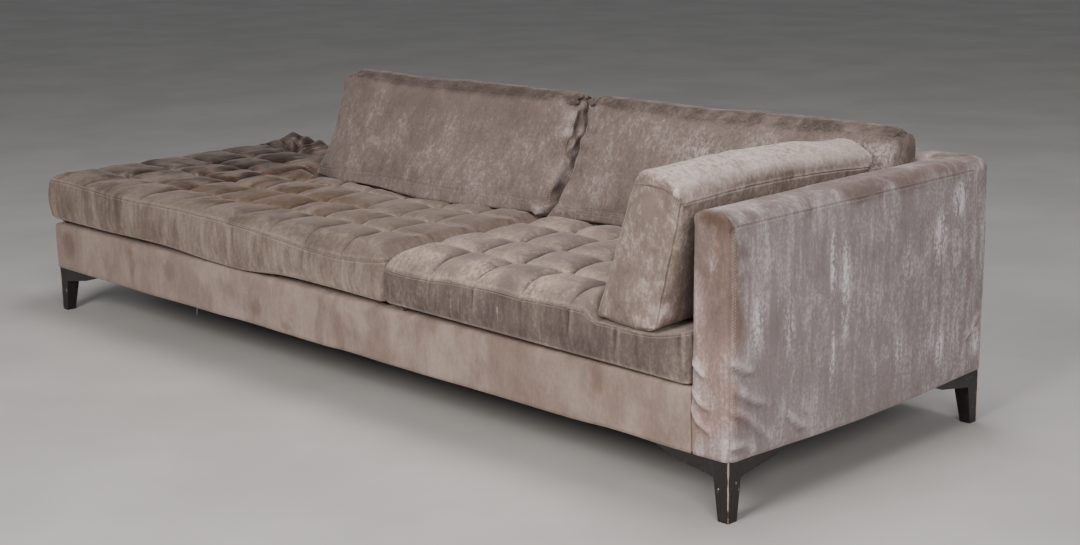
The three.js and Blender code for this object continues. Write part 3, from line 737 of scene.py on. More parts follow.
def build_pad(name, pad, top, rubbed, foot, bulge, dents, lean, wall_lie_and_shade, material):
    """Joins a pad's top, its walls and its underside into one closed mesh.

    The top's pile is painted paler on slopes that face the way of lean and darker on those facing away, as
    painted light, and the value given for the walls says how the pile lies on them, with painted shade in it.
    """
    out = pad.outward()
    loop = pad.plan[pad.rim]
    seam = top[pad.rim]
    height = np.maximum(seam - foot - FOOT_ROUND, 0.01)
    rows = [np.minimum(drop / height, 0.14) for drop in WALL_TOP_ROWS]
    rows += [np.full(len(loop), share) for share in WALL_ROWS]
    points = [np.column_stack([pad.plan, top])]
    wear_and_shade_rows = [rubbed]
    for share in rows:
        bulged = loop + out * (bulge * np.sin(math.pi * share))[:, None]
        spot = np.column_stack([bulged, seam - height * share])
        folds = layered(spot, *WALL_FOLDS)
        wear_and_shade_here = layered(spot, *WALL_STREAKS, start=wall_lie_and_shade)
        wear_and_shade_here += noise(spot, 0.008, 16, (1, 1, 2)) * 0.14 * smooth_step(share, 0.55, 1.0)
        # each pleat pulls the front wall in and leaves a ridge beside it; the dent is painted darker as shade
        # and the ridge's pile paler
        for place, depth in dents:
            strength = depth / DEEPEST_DENT * smooth_step(-out[:, 1], 0.6, 0.9)
            dent = strength * hill(loop[:, 0], place, 0.006) * (1 - smooth_step(share, 0.2, 0.85))
            ridge = strength * hill(loop[:, 0], place + 0.012, 0.006) * (1 - smooth_step(share, 0.5, 1.0))
            folds += 0.0028 * ridge - DEEPEST_DENT * dent
            wear_and_shade_here += 0.22 * ridge - 0.22 * dent
        folds *= np.sin(math.pi * np.minimum(share, 0.85)) ** 0.6
        relief = seam_relief(share * height)
        spot[:, :2] += out * (folds + relief)[:, None]
        points.append(spot)
        wear_and_shade_rows.append(wear_and_shade_here + relief * SHADE_AND_WEAR_PER_METRE)
    # under the wall the cover turns in, and then slopes down to where the cushion rests
    turns = np.linspace(0, math.pi / 2, 5)[1:]
    profile = [(FOOT_ROUND * (1 - math.cos(t)), FOOT_ROUND * (1 - math.sin(t)), 0.0) for t in turns]
    profile += [(FOOT_ROUND + UNDER_SLOPE * t, 0.0, t**1.5) for t in (0.35, 0.7, 1.0)]
    for inset, above, down in profile:
        level = foot + above + (SEAT_RESTS - foot) * down
        points.append(np.column_stack([loop - out * inset, level]))
        wear_and_shade_rows.append(np.full(len(loop), 0.08 * (1 - down)))
    faces = list(pad.faces)
    count = len(loop)
    above = pad.rim.tolist()
    start = len(pad.plan)
    for _ in range(len(points) - 1):
        below = list(range(start, start + count))
        for k in range(count):
            n = (k + 1) % count
            faces.append([above[k], below[k], below[n], above[n]])
        above = below
        start += count
    faces.append(above[::-1])
    piece = make_object(name, np.vstack(points), faces, material)
    # painted light and shade on the top: slopes that face lean are painted paler and those facing away darker,
    # less so near the edge
    inner = 0.25 + 0.75 * smooth_step(pad.from_edge(), 0.01, 0.06)
    wear_and_shade_rows[0] = rubbed + inner * (normals_of(piece)[: len(rubbed), :2] @ np.array(lean))
    rub(piece, np.concatenate(wear_and_shade_rows))
    return piece


def rim_rows(piece, pad):
    """The two rows of stitches beside a pad's seam, through every third point of its outline."""
    out = pad.outward()
    loop = points_of(piece)[pad.rim]
    above, below = loop.copy(), loop.copy()
    above[:, :2] -= out * SEAM_HALF
    below[:, 2] -= SEAM_HALF
    return [on_surface(piece, np.vstack([row[::3], row[:1]])) for row in (above, below)]


def pressed(top, cover, level):
    """Presses the top down to a level where it is covered."""
    return top - cover * np.maximum(top - level, 0)


def under_pillows(plan):
    """1 under the back cushions and 0 in front of them."""
    x, y = plan.T
    behind = smooth_step(y - smooth_line(PILLOW_FOOT, x), -0.060, -0.010)
    return behind * smooth_step(x, BACK_START - 0.035, BACK_START)


CHAISE_COLUMNS = [0.111 - TUFT_STEP * k for k in range(8, -1, -1)]
CHAISE_ROWS = [-0.325 + 0.159 * k for k in range(5)]
CHAISE_CROWN, CHAISE_DEPTHS = 0.449, (0.030, 0.016)  # the puffs' tops, and how deep tufts and pleats go
SEAT_CROWN, SEAT_DEPTHS = 0.450, (0.040, 0.024)
FADED_COLUMNS = (-1.035, -0.708, -0.544, -0.380)  # where the pleats have worn away along the front
SEAT_COLUMNS = [0.467 + 0.162 * k for k in range(5)]
SEAT_ROWS = [-0.340 + 0.1625 * k for k in range(4)]
# the height of each cushion's seam and of its foot, from left to right along the front
CHAISE_SEAM = (
    *((-1.415, 0.429), (-1.29, 0.431), (-1.13, 0.426), (-0.95, 0.421), (-0.71, 0.426), (-0.45, 0.423)),
    *((-0.30, 0.417), (-0.06, 0.401), (0.05, 0.395), (0.15, 0.398), (0.29, 0.411)),
)
CHAISE_FOOT = (
    *((-1.415, 0.304), (-1.10, 0.302), (-0.74, 0.304), (-0.50, 0.293)),
    *((-0.35, 0.291), (-0.16, 0.305), (0.03, 0.306), (0.29, 0.302)),
)
SEAT_SEAM = (
    *((0.285, 0.395), (0.38, 0.391), (0.50, 0.397), (0.63, 0.404), (0.82, 0.402)),
    *((1.00, 0.404), (1.08, 0.391), (1.20, 0.386), (1.31, 0.410)),
)
SEAT_FOOT = ((0.285, 0.304), (0.6, 0.301), (0.9, 0.297), (1.1, 0.295), (1.31, 0.291))
SEAT_DENTS = (  # where a pleat runs down the front wall, and how deep
    *((0.467, 0.003), (0.624, 0.007), (0.791, 0.003), (0.949, 0.007)),
    *((1.096, 0.006), (1.16, 0.004), (1.284, 0.005)),
)
PRESSED_LEVEL = 0.4125  # of the seat under the back cushions
PILLOW_FOOT = (  # the line on the seat where the back cushions' fronts stand, as x and y
    *((-0.86, 0.158), (-0.82, 0.142), (-0.72, 0.113), (-0.59, 0.103), (-0.375, 0.081), (-0.19, 0.070)),
    *((-0.09, 0.084), (0.055, 0.113), (0.15, 0.127), (0.26, 0.118), (0.355, 0.131), (0.48, 0.141)),
    (1.30, 0.150),
)
BUNCHED_FOLDS = (
    ((-1.200, 0.313), (-1.278, 0.352), (-1.350, 0.388)),
    ((-1.178, 0.318), (-1.248, 0.376), (-1.320, 0.441), (-1.390, 0.485)),
    ((-1.150, 0.325), (-1.140, 0.390), (-1.160, 0.460)),
    ((-1.262, 0.300), (-1.335, 0.330), (-1.392, 0.345)),
    ((-1.212, 0.350), (-1.232, 0.430), (-1.275, 0.487)),
)


def bunched_corner(plan):
    """The lump at the chaise's back left corner, where the cover has slipped and bunched in sharp folds.

    Gives the height it adds, and the pile's tone: paler worn pile on the folds' ridges and painted shade in
    their grooves.
    """
    x, y = plan.T
    lump = 0.025 * hill(x, -1.395, 0.055) * hill(y, 0.475, 0.055)
    lump += 0.010 * hill(x, -1.27, 0.08) * hill(y, 0.42, 0.07)
    rubbed = np.zeros(len(x))
    for path in BUNCHED_FOLDS:
        away, along = to_path(plan, path)
        fade = smooth_step(along, 0, 0.15) * smooth_step(1 - along, 0, 0.25)
        lump += fade * (0.007 * hill(away, 0.024, 0.012) - 0.014 * hill(away, 0, 0.008))
        # paler worn pile on each ridge, painted shade in each groove
        rubbed += fade * (0.22 * hill(away, 0.020, 0.008) - 0.45 * hill(away, 0, 0.007))
    return lump, rubbed


def make_chaise(material):
    """The long cushion, cut round the end of the back. Its end at the seat is drawn into short folds."""
    x0, x1 = CHAISE_LOW.x + 0.001, SEAT_SPLIT - 0.014
    y0, y1 = CHAISE_LOW.y, BACK - 0.004
    notch_x, notch_y = BACK_START - 0.003, BACK_INSIDE - 0.003
    xs = snap(tuft_grid(x0, CHAISE_COLUMNS, x1), notch_x)
    ys = snap(tuft_grid(y0, CHAISE_ROWS, y1), notch_y)
    pad = Pad(xs, ys, 0.026, lambda x, y: x < notch_x or y < notch_y)
    wander(pad, 20)
    x, y = pad.plan.T
    rear = smooth_step(y, -0.47, -0.38)
    seam = smooth_line(CHAISE_SEAM, x) * (1 - rear) + (0.432 - 0.02 * smooth_step(x, -0.9, -0.4)) * rear
    edge_round = 0.055 - 0.020 * smooth_step(y, -0.42, -0.3)
    present = smooth_step(noise(pad.flat(), 0.10, 30), -0.7, 0.4)
    for column in FADED_COLUMNS:
        present *= 1 - hill(x, column, 0.05) * smooth_step(-y, 0.31, 0.36)
    tufts = (CHAISE_COLUMNS, CHAISE_ROWS, CHAISE_DEPTHS)
    top, rubbed = pad_top(pad, CHAISE_CROWN, seam, edge_round, *tufts, present, 21)
    lump, lump_wear_and_shade = bunched_corner(pad.plan)
    near_seat = smooth_step(-x, -0.285, -0.25)
    # short folds at the end by the seat, painted darker in their grooves as shade
    for row in CHAISE_ROWS:
        for shift, depth in ((0.022, 1.0), (-0.018, 0.8), (0.040, 0.5)):
            fold = depth * hill(y, row + shift, 0.006) * smooth_step(x, 0.13, 0.19) * near_seat
            lump -= 0.0022 * fold
            lump_wear_and_shade -= 0.22 * fold
    top = pressed(top + lump, under_pillows(pad.plan), PRESSED_LEVEL)
    foot = smooth_line(CHAISE_FOOT, pad.plan[pad.rim, 0])
    dents = [(column, 0.002) for column in CHAISE_COLUMNS]
    # painted light and shade on the top's slopes by lean; the walls' pile is paler, and painted darker towards
    # the left end as shade
    lean, wall_lie_and_shade = (-0.21, -0.46), 0.09 + 0.05 * pad.plan[pad.rim, 0]
    rubbed += lump_wear_and_shade
    return build_pad("chaise_cushion", pad, top, rubbed, foot, 0.006, dents, lean, wall_lie_and_shade, material), pad


def make_seat(material):
    """The shorter cushion, pressed down under the back cushions and the arm cushion."""
    x0, x1 = SEAT_SPLIT - 0.008, ARM_INSIDE - 0.003
    y0, y1 = SEAT_LOW.y - 0.001, BACK_INSIDE - 0.003
    xs, ys = tuft_grid(x0, SEAT_COLUMNS, x1), tuft_grid(y0, SEAT_ROWS, y1)
    pad = Pad(xs, ys, 0.021)
    wander(pad, 40)
    x, y = pad.plan.T
    rear = smooth_step(y, -0.47, -0.38)
    seam = smooth_line(SEAT_SEAM, x) * (1 - rear) + 0.408 * rear
    edge_round = 0.065 - 0.02 * smooth_step(y, -0.42, -0.3)
    present = 0.55 + 0.45 * smooth_step(noise(pad.flat(), 0.10, 50), -0.6, 0.4)
    tufts = (SEAT_COLUMNS, SEAT_ROWS, SEAT_DEPTHS)
    top, rubbed = pad_top(pad, SEAT_CROWN, seam, edge_round, *tufts, present, 41)
    top = pressed(top, under_pillows(pad.plan), PRESSED_LEVEL)
    under_bolster = 0.386 + 0.034 * smooth_step(y, -0.5, 0.2) + 0.022 * smooth_step(x, 1.20, 1.29)
    top = pressed(top, smooth_step(x, 1.0, 1.03) * smooth_step(-y, -0.25, -0.22), under_bolster)
    foot = smooth_line(SEAT_FOOT, pad.plan[pad.rim, 0])
    # painted light and shade on the top's slopes by lean; the walls' pile is darker than the top, for its lie
    # there and as painted shade
    lean, wall_lie_and_shade = (-0.30, -0.42), -0.18
    return build_pad("seat_cushion", pad, top, rubbed, foot, 0.005, SEAT_DENTS, lean, wall_lie_and_shade, material), pad


# ---------- loose cushions ----------
PILLOW_STEP = 0.012  # between grid lines
PRESSURE = 4  # of the filling against the cover
STEPS_OF_TIME = 20  # frames that the cloth is given to swell


def inflate(piece, largest_move, thin_axis):
    """Lets the cover swell as stuffed cloth, and caps how far any point goes.

    Its height and its width then stay as they were, but for the underside, which stays as it swelled.
    thin_axis is the axis that it may grow thicker along.
    """
    start = points_of(piece)
    cloth = piece.modifiers.new("cloth", "CLOTH")
    cloth.settings.use_pressure = True
    cloth.settings.uniform_pressure_force = PRESSURE
    cloth.settings.effector_weights.gravity = 0
    cloth.settings.tension_stiffness = 12
    cloth.settings.compression_stiffness = 12
    cloth.settings.bending_stiffness = 0.3
    cloth.settings.shrink_min = -0.02
    scene = bpy.context.scene
    cloth.point_cache.frame_start, cloth.point_cache.frame_end = 1, STEPS_OF_TIME
    for step in range(1, STEPS_OF_TIME + 1):
        scene.frame_set(step)
    apply_modifiers(piece)
    scene.frame_set(1)
    move = points_of(piece) - start
    length = np.linalg.norm(move, axis=1, keepdims=True)
    capped = largest_move * np.tanh(length / largest_move)
    spots = start + move * capped / np.maximum(length, 1e-9)
    for axis in (2, 1 - thin_axis):
        was, now = start[:, axis], spots[:, axis]
        low = now.min() if axis == 2 else was.min()
        spots[:, axis] = np.interp(now, (now.min(), now.max()), (low, was.max()))
    move_points(piece, spots)


def add_lumps(piece, *layers):
    """Makes the mesh finer and pushes it out and in with layers of noise, as uneven filling does."""
    modifier = piece.modifiers.new("finer", "SUBSURF")
    modifier.levels = modifier.render_levels = 1
    apply_modifiers(piece)
    swell(piece, layered(points_of(piece), *layers))


PILLOW_LOW, PILLOW_TOP = 0.4135, 0.748
PILLOW_DEPTH = 0.14  # of the box that the cushion is shaped from
PILLOW_THICK, PILLOW_THINS = 0.222, 0.142  # its thickness at the foot, and how much less it is at the top
PILLOW_ROUNDS = (0.050, 0.035)  # the front and the rear edge of its top
PILLOWS_MEET = 0.232
PILLOW_SEAM_RISE = 0.038  # the stitched line above the lower edge
END_SEAM = 0.008  # from a cushion's end to the seam round its end panel


def make_back_pillow(name, x0, x1, end_rounds, seed, material):
    """A wedge cushion that leans on the back, thick below and thin above. Also gives its stitch rows."""
    rear = BACK_INSIDE - 0.004
    low, high = (x0, 0, PILLOW_LOW), (x1, PILLOW_DEPTH, PILLOW_TOP)
    radii = (0.012, 0.016, 0.014)
    seam_z = PILLOW_LOW + PILLOW_SEAM_RISE
    lines = [
        grid_lines(x0, x1, PILLOW_STEP, radii[0], radii[0], (x0 + END_SEAM, x1 - END_SEAM)),
        grid_lines(0, PILLOW_DEPTH, PILLOW_STEP, radii[1], radii[1]),
        grid_lines(PILLOW_LOW, PILLOW_TOP, PILLOW_STEP, radii[2], radii[2], (seam_z,)),
    ]
    grid, faces = box_shell(*lines)
    points = rounded(grid, low, high, radii)
    points = round_edge(points, (1, 2), (0, PILLOW_TOP), (1, -1), PILLOW_ROUNDS[0])
    points = round_edge(points, (1, 2), (PILLOW_DEPTH, PILLOW_TOP), (-1, -1), PILLOW_ROUNDS[1])
    for end, inward, radius in zip((x0, x1), (1, -1), end_rounds):
        points = round_edge(points, (0, 2), (end, PILLOW_TOP), (inward, -1), radius)
    rise = np.clip((points[:, 2] - PILLOW_LOW) / (PILLOW_TOP - PILLOW_LOW), 0, 1)
    forward = 1 - points[:, 1] / PILLOW_DEPTH
    along = np.clip((points[:, 0] - x0) / (x1 - x0), 0, 1)
    # the front leans back as a wedge with a full belly, and its foot comes forward to its line on the seat
    belly = (0.030 * np.sin(math.pi * along) ** 0.6 - 0.014) * np.sin(math.pi * rise)
    thickness = PILLOW_THICK - PILLOW_THINS * rise + belly
    thickness += (rear - PILLOW_THICK - smooth_line(PILLOW_FOOT, points[:, 0])) * (1 - rise) ** 2.5
    points[:, 1] = rear - forward * thickness
    # the lower front corner at the left sticks out as an ear
    ear = forward**4 * hill(points[:, 2], PILLOW_LOW + 0.012, 0.020)
    points[:, 0] -= 0.010 * ear * hill(points[:, 0], x0, 0.03)
    piece = make_object(name, points, faces, material)
    inflate(piece, 0.012, 1)
    from_end = np.minimum(grid[:, 0] - x0, x1 - grid[:, 0])
    on_face = smooth_step(-grid[:, 1], -0.03, -0.01)
    relief = seam_relief(from_end - END_SEAM) + on_face * seam_relief(grid[:, 2] - seam_z)
    # the cover puckers away from the end seams, most of all where the two cushions meet
    puckers = noise(grid, 0.024, seed, (4, 1, 1)) * np.exp(-np.maximum(from_end - END_SEAM, 0) / 0.045)
    slack = noise(grid, 0.03, seed + 3, (1, 1, 2.2)) * hill(grid[:, 2], seam_z + 0.03, 0.03) * on_face
    puckers *= 0.4 + 0.9 * hill(grid[:, 0], PILLOWS_MEET, 0.12)
    swell(piece, 0.6 * relief + puckers * 0.0085 + slack * 0.0020)
    # painted shade darkens the top edge, with paler marks along it at the right, and the seams, puckers and
    # slack are painted darker where they sink and paler where they stand out
    crest = smooth_step(grid[:, 2], PILLOW_TOP - 0.045, PILLOW_TOP - 0.010)
    marks = smooth_step(noise(grid, 0.05, seed + 5, (0.5, 1, 2)), 0.1, 0.6) * hill(grid[:, 0], 0.85, 0.40)
    rub(piece, relief * SHADE_AND_WEAR_PER_METRE * 0.3 + puckers * 0.20 + slack * 0.12 + crest * (0.22 * marks - 0.27))
    rows = []
    for offset in (-SEAM_HALF, SEAM_HALF):
        rows.append([(x, 0.16, seam_z + offset) for x in np.arange(x0 + 0.02, x1 - 0.02, 0.01)])
        for end in (x0 + END_SEAM + offset, x1 - END_SEAM + offset):
            rises = np.linspace(0.06, 0.93, 40)
            rows.append([(end, rear - 0.235 + 0.15 * r, PILLOW_LOW + 0.32 * r) for r in rises])
    coarse, fine = (0.16, seed + 1, 0.006, (1.5, 1, 1)), (0.028, seed + 4, 0.0008, (1, 1, 3))
    add_lumps(piece, coarse, (0.05, seed + 2, 0.0018), fine)
    points = points_of(piece)
    # it lies flat against the back, the seat and the arm
    points[:, 1] = np.minimum(points[:, 1], BACK_INSIDE - 0.001)
    points[:, 2] = np.maximum(points[:, 2], PRESSED_LEVEL)
    beside_arm = smooth_step(-points[:, 2], -0.70, -0.68)
    points[:, 0] -= beside_arm * np.maximum(points[:, 0] - (ARM_INSIDE - 0.002), 0)
    move_points(piece, points)
    return piece, [on_surface(piece, row) for row in rows]


BOLSTER_LOW, BOLSTER_TOP = 0.389, 0.737
BOLSTER_FRONT, BOLSTER_REAR = -0.493, 0.215
BOLSTER_WIDTH = 0.15  # of the box that the cushion is shaped from
BOLSTER_FOOT = (1.016, 1.198)  # where its two sides stand, along X
BOLSTER_LEAN = (0.130, 0.078)  # how much further to the right they are at its top


def lean_bolster(points):
    """Takes points on an upright box to the leaning wedge of the arm cushion."""
    rise = np.clip((points[:, 2] - BOLSTER_LOW) / (BOLSTER_TOP - BOLSTER_LOW), 0, 1)
    across = points[:, 0] / BOLSTER_WIDTH
    back = np.clip((points[:, 1] - BOLSTER_FRONT) / (BOLSTER_REAR - BOLSTER_FRONT), 0, 1)
    left, right = (foot + lean * rise for foot, lean in zip(BOLSTER_FOOT, BOLSTER_LEAN))
    leaning = points.copy()
    leaning[:, 0] = left + (right - left) * across
    leaning[:, 1] += rise * back * 0.015
    leaning[:, 2] += (1 - rise) * (0.032 * back - 0.006 * across)
    crown = 0.018 * np.sin(math.pi * np.clip(across, 0, 1)) - 0.030 * across
    leaning[:, 2] += rise * (crown + 0.012 * np.sin(math.pi * back) - 0.016 * back**2)
    return leaning


def make_bolster(material):
    """The arm cushion: a tall wedge with a flat front panel and a seam round both of its end panels."""
    low = (0, BOLSTER_FRONT, BOLSTER_LOW)
    high = (BOLSTER_WIDTH, BOLSTER_REAR, BOLSTER_TOP)
    radii = (0.014, 0.011, 0.014)
    front_seam, rear_seam = BOLSTER_FRONT + 0.010, BOLSTER_REAR - 0.010
    side_seam = BOLSTER_TOP - 0.030
    lines = [
        grid_lines(low[0], high[0], PILLOW_STEP, radii[0], radii[0]),
        grid_lines(low[1], high[1], PILLOW_STEP, radii[1], radii[1], (front_seam, rear_seam)),
        grid_lines(low[2], high[2], PILLOW_STEP, radii[2], radii[2], (side_seam,)),
    ]
    grid, faces = box_shell(*lines)
    points = rounded(grid, low, high, radii)
    points = round_edge(points, (0, 2), (0, BOLSTER_TOP), (1, -1), 0.042)
    piece = make_object("arm_bolster", lean_bolster(points), faces, material)
    inflate(piece, 0.008, 0)
    on_panel = grid[:, 1] <= BOLSTER_FRONT
    from_front, from_rear = grid[:, 1] - front_seam, grid[:, 1] - rear_seam
    relief = (seam_relief(from_front) + seam_relief(from_rear)) * ~on_panel
    relief += seam_relief(grid[:, 2] - side_seam) * (grid[:, 0] >= BOLSTER_WIDTH)
    ear = 0.004 * hill(grid[:, 1], BOLSTER_FRONT, 0.010) * hill(grid[:, 2], BOLSTER_TOP, 0.02)
    relief += ear * (grid[:, 0] > 0.14)
    puckers = noise(grid, 0.020, 63, (1, 3, 1)) * np.exp(-np.abs(from_front) / 0.03) * 0.0022
    swell(piece, relief + puckers)
    # painted shade in the seams' grooves and where the puckers sink, paler worn pile where they stand out
    rub(piece, relief * SHADE_AND_WEAR_PER_METRE + puckers * 60)
    add_lumps(piece, (0.14, 61, 0.004), (0.045, 62, 0.0016), (0.02, 64, 0.0005, (1, 1, 2)))
    points = points_of(piece)
    points[:, 0] = np.minimum(points[:, 0], ARM_INSIDE - 0.003)
    move_points(piece, points)
    rows = []
    for offset in (-0.6 * SEAM_HALF, SEAM_HALF):
        y = front_seam + offset
        up = [(BOLSTER_WIDTH, y, z) for z in np.linspace(BOLSTER_LOW + 0.02, BOLSTER_TOP - 0.02, 30)]
        over = [(x, y, BOLSTER_TOP) for x in np.linspace(BOLSTER_WIDTH - 0.01, 0.03, 12)]
        down = [(0, y, z) for z in np.linspace(BOLSTER_TOP - 0.04, BOLSTER_LOW + 0.02, 30)]
        rows.append(up + over + down)
        back = np.linspace(BOLSTER_FRONT + 0.02, BOLSTER_REAR - 0.02, 60)
        rows.append([(BOLSTER_WIDTH, y, side_seam + offset) for y in back])
    return piece, [on_surface(piece, lean_bolster(np.array(row))) for row in rows]


# ---------- velvet over the arm, the back and the base ----------
COVER_THICK = 0.0025
TOP_SEAM = ARM_TOP - 0.025  # how high the seam round each outer panel runs
WALL_STEP, BACK_STEP = 0.008, 0.011  # between grid lines on the arm and on the back
INNER_FOOT = BASE_TOP + 0.003  # where a cover ends on the side of the seat


def thicken(piece):
    """Gives an open cover its cloth's thickness, inwards."""
    modifier = piece.modifiers.new("cloth", "SOLIDIFY")
    modifier.thickness = COVER_THICK
    modifier.offset = -1
    apply_modifiers(piece)


def mitre(piece, keep):
    """Cuts a cover along the upright plane where the arm and the back meet."""
    mesh = bmesh.new()
    mesh.from_mesh(piece.data)
    bmesh.ops.bisect_plane(
        mesh,
        geom=mesh.verts[:] + mesh.edges[:] + mesh.faces[:],
        plane_co=(ARM_INSIDE, BACK_INSIDE, 0),
        plane_no=Vector((1, -1, 0)).normalized() * keep,
        clear_inner=True,
    )
    mesh.to_mesh(piece.data)
    mesh.free()


def mitre_groove(points):
    """The seam where the arm's cover is sewn to the back's."""
    across = np.abs((points[:, 0] - ARM_INSIDE) - (points[:, 1] - BACK_INSIDE)) / math.sqrt(2)
    return -0.0035 * np.exp(-across / 0.004)


PANEL_CORNER = 0.012  # the round of its seam's two upper corners


def panel_seam(along, up, low, high):
    """The signed distance from the seam that runs up both ends of an outer panel and along near its top."""
    away_side = np.maximum(low - along, along - high)
    away_top = up - TOP_SEAM
    outside = np.hypot(np.maximum(away_side + PANEL_CORNER, 0), np.maximum(away_top + PANEL_CORNER, 0))
    inside = np.minimum(np.maximum(away_side, away_top) + PANEL_CORNER, 0)
    return outside + inside - PANEL_CORNER


def cover_slack(points, seed):
    """The uneven fullness of foam and wadding under a fixed cover. It never sinks in."""
    return layered(points, (0.22, seed, 0.0022), (0.07, seed + 1, 0.0011, (1, 1, 1.8)), start=0.0035)


ARM_FRONT_SEAM, ARM_REAR_SEAM = FRONT + 0.007, 0.434
ARM_WRINKLES = (
    ((RIGHT, -0.480, 0.308), (RIGHT, -0.409, 0.266), (RIGHT, -0.33, 0.238)),
    ((RIGHT, -0.484, 0.262), (RIGHT, -0.43, 0.232), (RIGHT, -0.375, 0.190), (RIGHT, -0.325, 0.150)),
    ((RIGHT, -0.487, 0.176), (RIGHT, -0.44, 0.174), (RIGHT, -0.385, 0.146)),
    ((RIGHT, -0.300, 0.215), (RIGHT, -0.25, 0.180), (RIGHT, -0.19, 0.160)),
    ((RIGHT, -0.482, 0.365), (RIGHT, -0.44, 0.340), (RIGHT, -0.40, 0.333)),
    ((1.309, FRONT, 0.352), (1.342, FRONT, 0.326), (1.365, FRONT, 0.322)),
    ((1.312, FRONT, 0.290), (1.335, FRONT, 0.262), (1.380, FRONT, 0.250)),
    ((1.306, FRONT, 0.255), (1.330, FRONT, 0.218), (1.388, FRONT, 0.190)),
    ((RIGHT, 0.478, 0.300), (RIGHT, 0.44, 0.250), (RIGHT, 0.40, 0.235)),
)
ARM_HEM = (  # how far the hem sags, from front to back
    *((-0.49, 0.0), (-0.40, -0.002), (-0.27, -0.007), (-0.05, -0.012)),
    *((0.14, -0.011), (0.33, -0.005), (0.495, 0.0)),
)
WALL_ROUND, WALL_END_ROUND = 0.030, 0.020  # the top edges, and the upright corners of the free end
SHARED_ROUND = 0.011  # the upright corner where the arm meets the back
PAST_MITRE = 0.03  # how far each cover runs on before it is cut


def wall_cover(name, lines, keep, across, sides, end, mitre_side, material):
    """The plain cover of the arm or the back, rounded and then cut at the mitre where the two meet.

    across is the axis through the wall, and end is where it stops at its free end. Also gives its points.
    """
    points, faces = box_shell(*lines, keep)
    along = 1 - across
    for side, inward in zip(sides, (1, -1)):
        points = round_edge(points, (across, 2), (side, ARM_TOP), (inward, -1), WALL_ROUND)
        points = round_edge(points, (across, along), (side, end), (inward, 1), WALL_END_ROUND)
    points = round_edge(points, (along, 2), (end, ARM_TOP), (1, -1), 0.010)
    piece = make_object(name, points, faces, material)
    mitre(piece, mitre_side)
    points = round_edge(points_of(piece), (0, 1), (RIGHT, BACK), (-1, -1), SHARED_ROUND)
    move_points(piece, points)
    return piece, points


def make_arm(material):
    """The arm's cover, with its own topstitched seam round the outer panel and drag wrinkles at its foot."""
    lines = [
        grid_lines(ARM_INSIDE, RIGHT, WALL_STEP, WALL_ROUND, WALL_ROUND),
        grid_lines(FRONT, BACK + PAST_MITRE, WALL_STEP, WALL_END_ROUND, 0, (ARM_FRONT_SEAM, ARM_REAR_SEAM)),
        grid_lines(HEM, ARM_TOP, WALL_STEP, 0, WALL_ROUND, (TOP_SEAM,)),
    ]

    def keep(x, y, z):
        buried = x == ARM_INSIDE and z < INNER_FOOT and y > FRONT + 0.02
        return z > HEM and not buried and y < BACK + 0.02

    piece, points = wall_cover("arm_upholstery", lines, keep, 0, (ARM_INSIDE, RIGHT), FRONT, 1, material)
    outer = smooth_step(normals_of(piece)[:, 0], 0.3, 0.7)
    # the foam is fullest in the middle of the outer panel
    full_y = np.sin(math.pi * np.clip((points[:, 1] - FRONT) / (BACK - FRONT), 0, 1)) ** 0.5
    full_z = np.sin(math.pi * np.clip((points[:, 2] - HEM) / (ARM_TOP - HEM), 0, 1)) ** 0.6
    amount = cover_slack(points, 71) + outer * 0.006 * full_y * full_z
    relief = outer * seam_relief(panel_seam(points[:, 1], points[:, 2], ARM_FRONT_SEAM, ARM_REAR_SEAM))
    amount += relief
    # the seam's corner stands out at the front, and the cover puckers along the seam
    amount += 0.004 * hill(points[:, 1], FRONT, 0.012) * hill(points[:, 2], TOP_SEAM, 0.012) * outer
    amount += noise(points, 0.016, 75, (1, 2, 1)) * 0.0008 * hill(points[:, 2], TOP_SEAM, 0.02)
    # painted shade in the grooves of the seam and the wrinkles, paler worn pile on their ridges
    fine = relief * SHADE_AND_WEAR_PER_METRE * 0.5
    amount += mitre_groove(points)
    for path in ARM_WRINKLES:
        fold = wrinkle(points, path, 0.010, 0.0056)
        amount += fold
        fine += fold * 38
    rub(piece, fine)
    swell(piece, amount)
    points = points_of(piece)
    near_hem = smooth_step(-points[:, 2], -HEM - 0.1, -HEM)
    sag = near_hem * smooth_line(ARM_HEM, points[:, 1])
    points[:, 2] += sag * smooth_step(points[:, 0], ARM_INSIDE + 0.03, RIGHT)
    move_points(piece, points)
    thicken(piece)
    rows = []
    x = RIGHT + 0.01
    for offset in (-SEAM_HALF, SEAM_HALF):
        up = [(x, ARM_FRONT_SEAM - offset, z) for z in np.arange(HEM + 0.004, TOP_SEAM - 0.01, 0.01)]
        to_rear = np.arange(ARM_FRONT_SEAM + 0.01, ARM_REAR_SEAM - 0.01, 0.01)
        down = [(x, ARM_REAR_SEAM + offset, z) for z in np.arange(TOP_SEAM - 0.01, HEM + 0.004, -0.01)]
        rows.append(up + [(x, y, TOP_SEAM + offset) for y in to_rear] + down)
    return piece, [on_surface(piece, row) for row in rows]


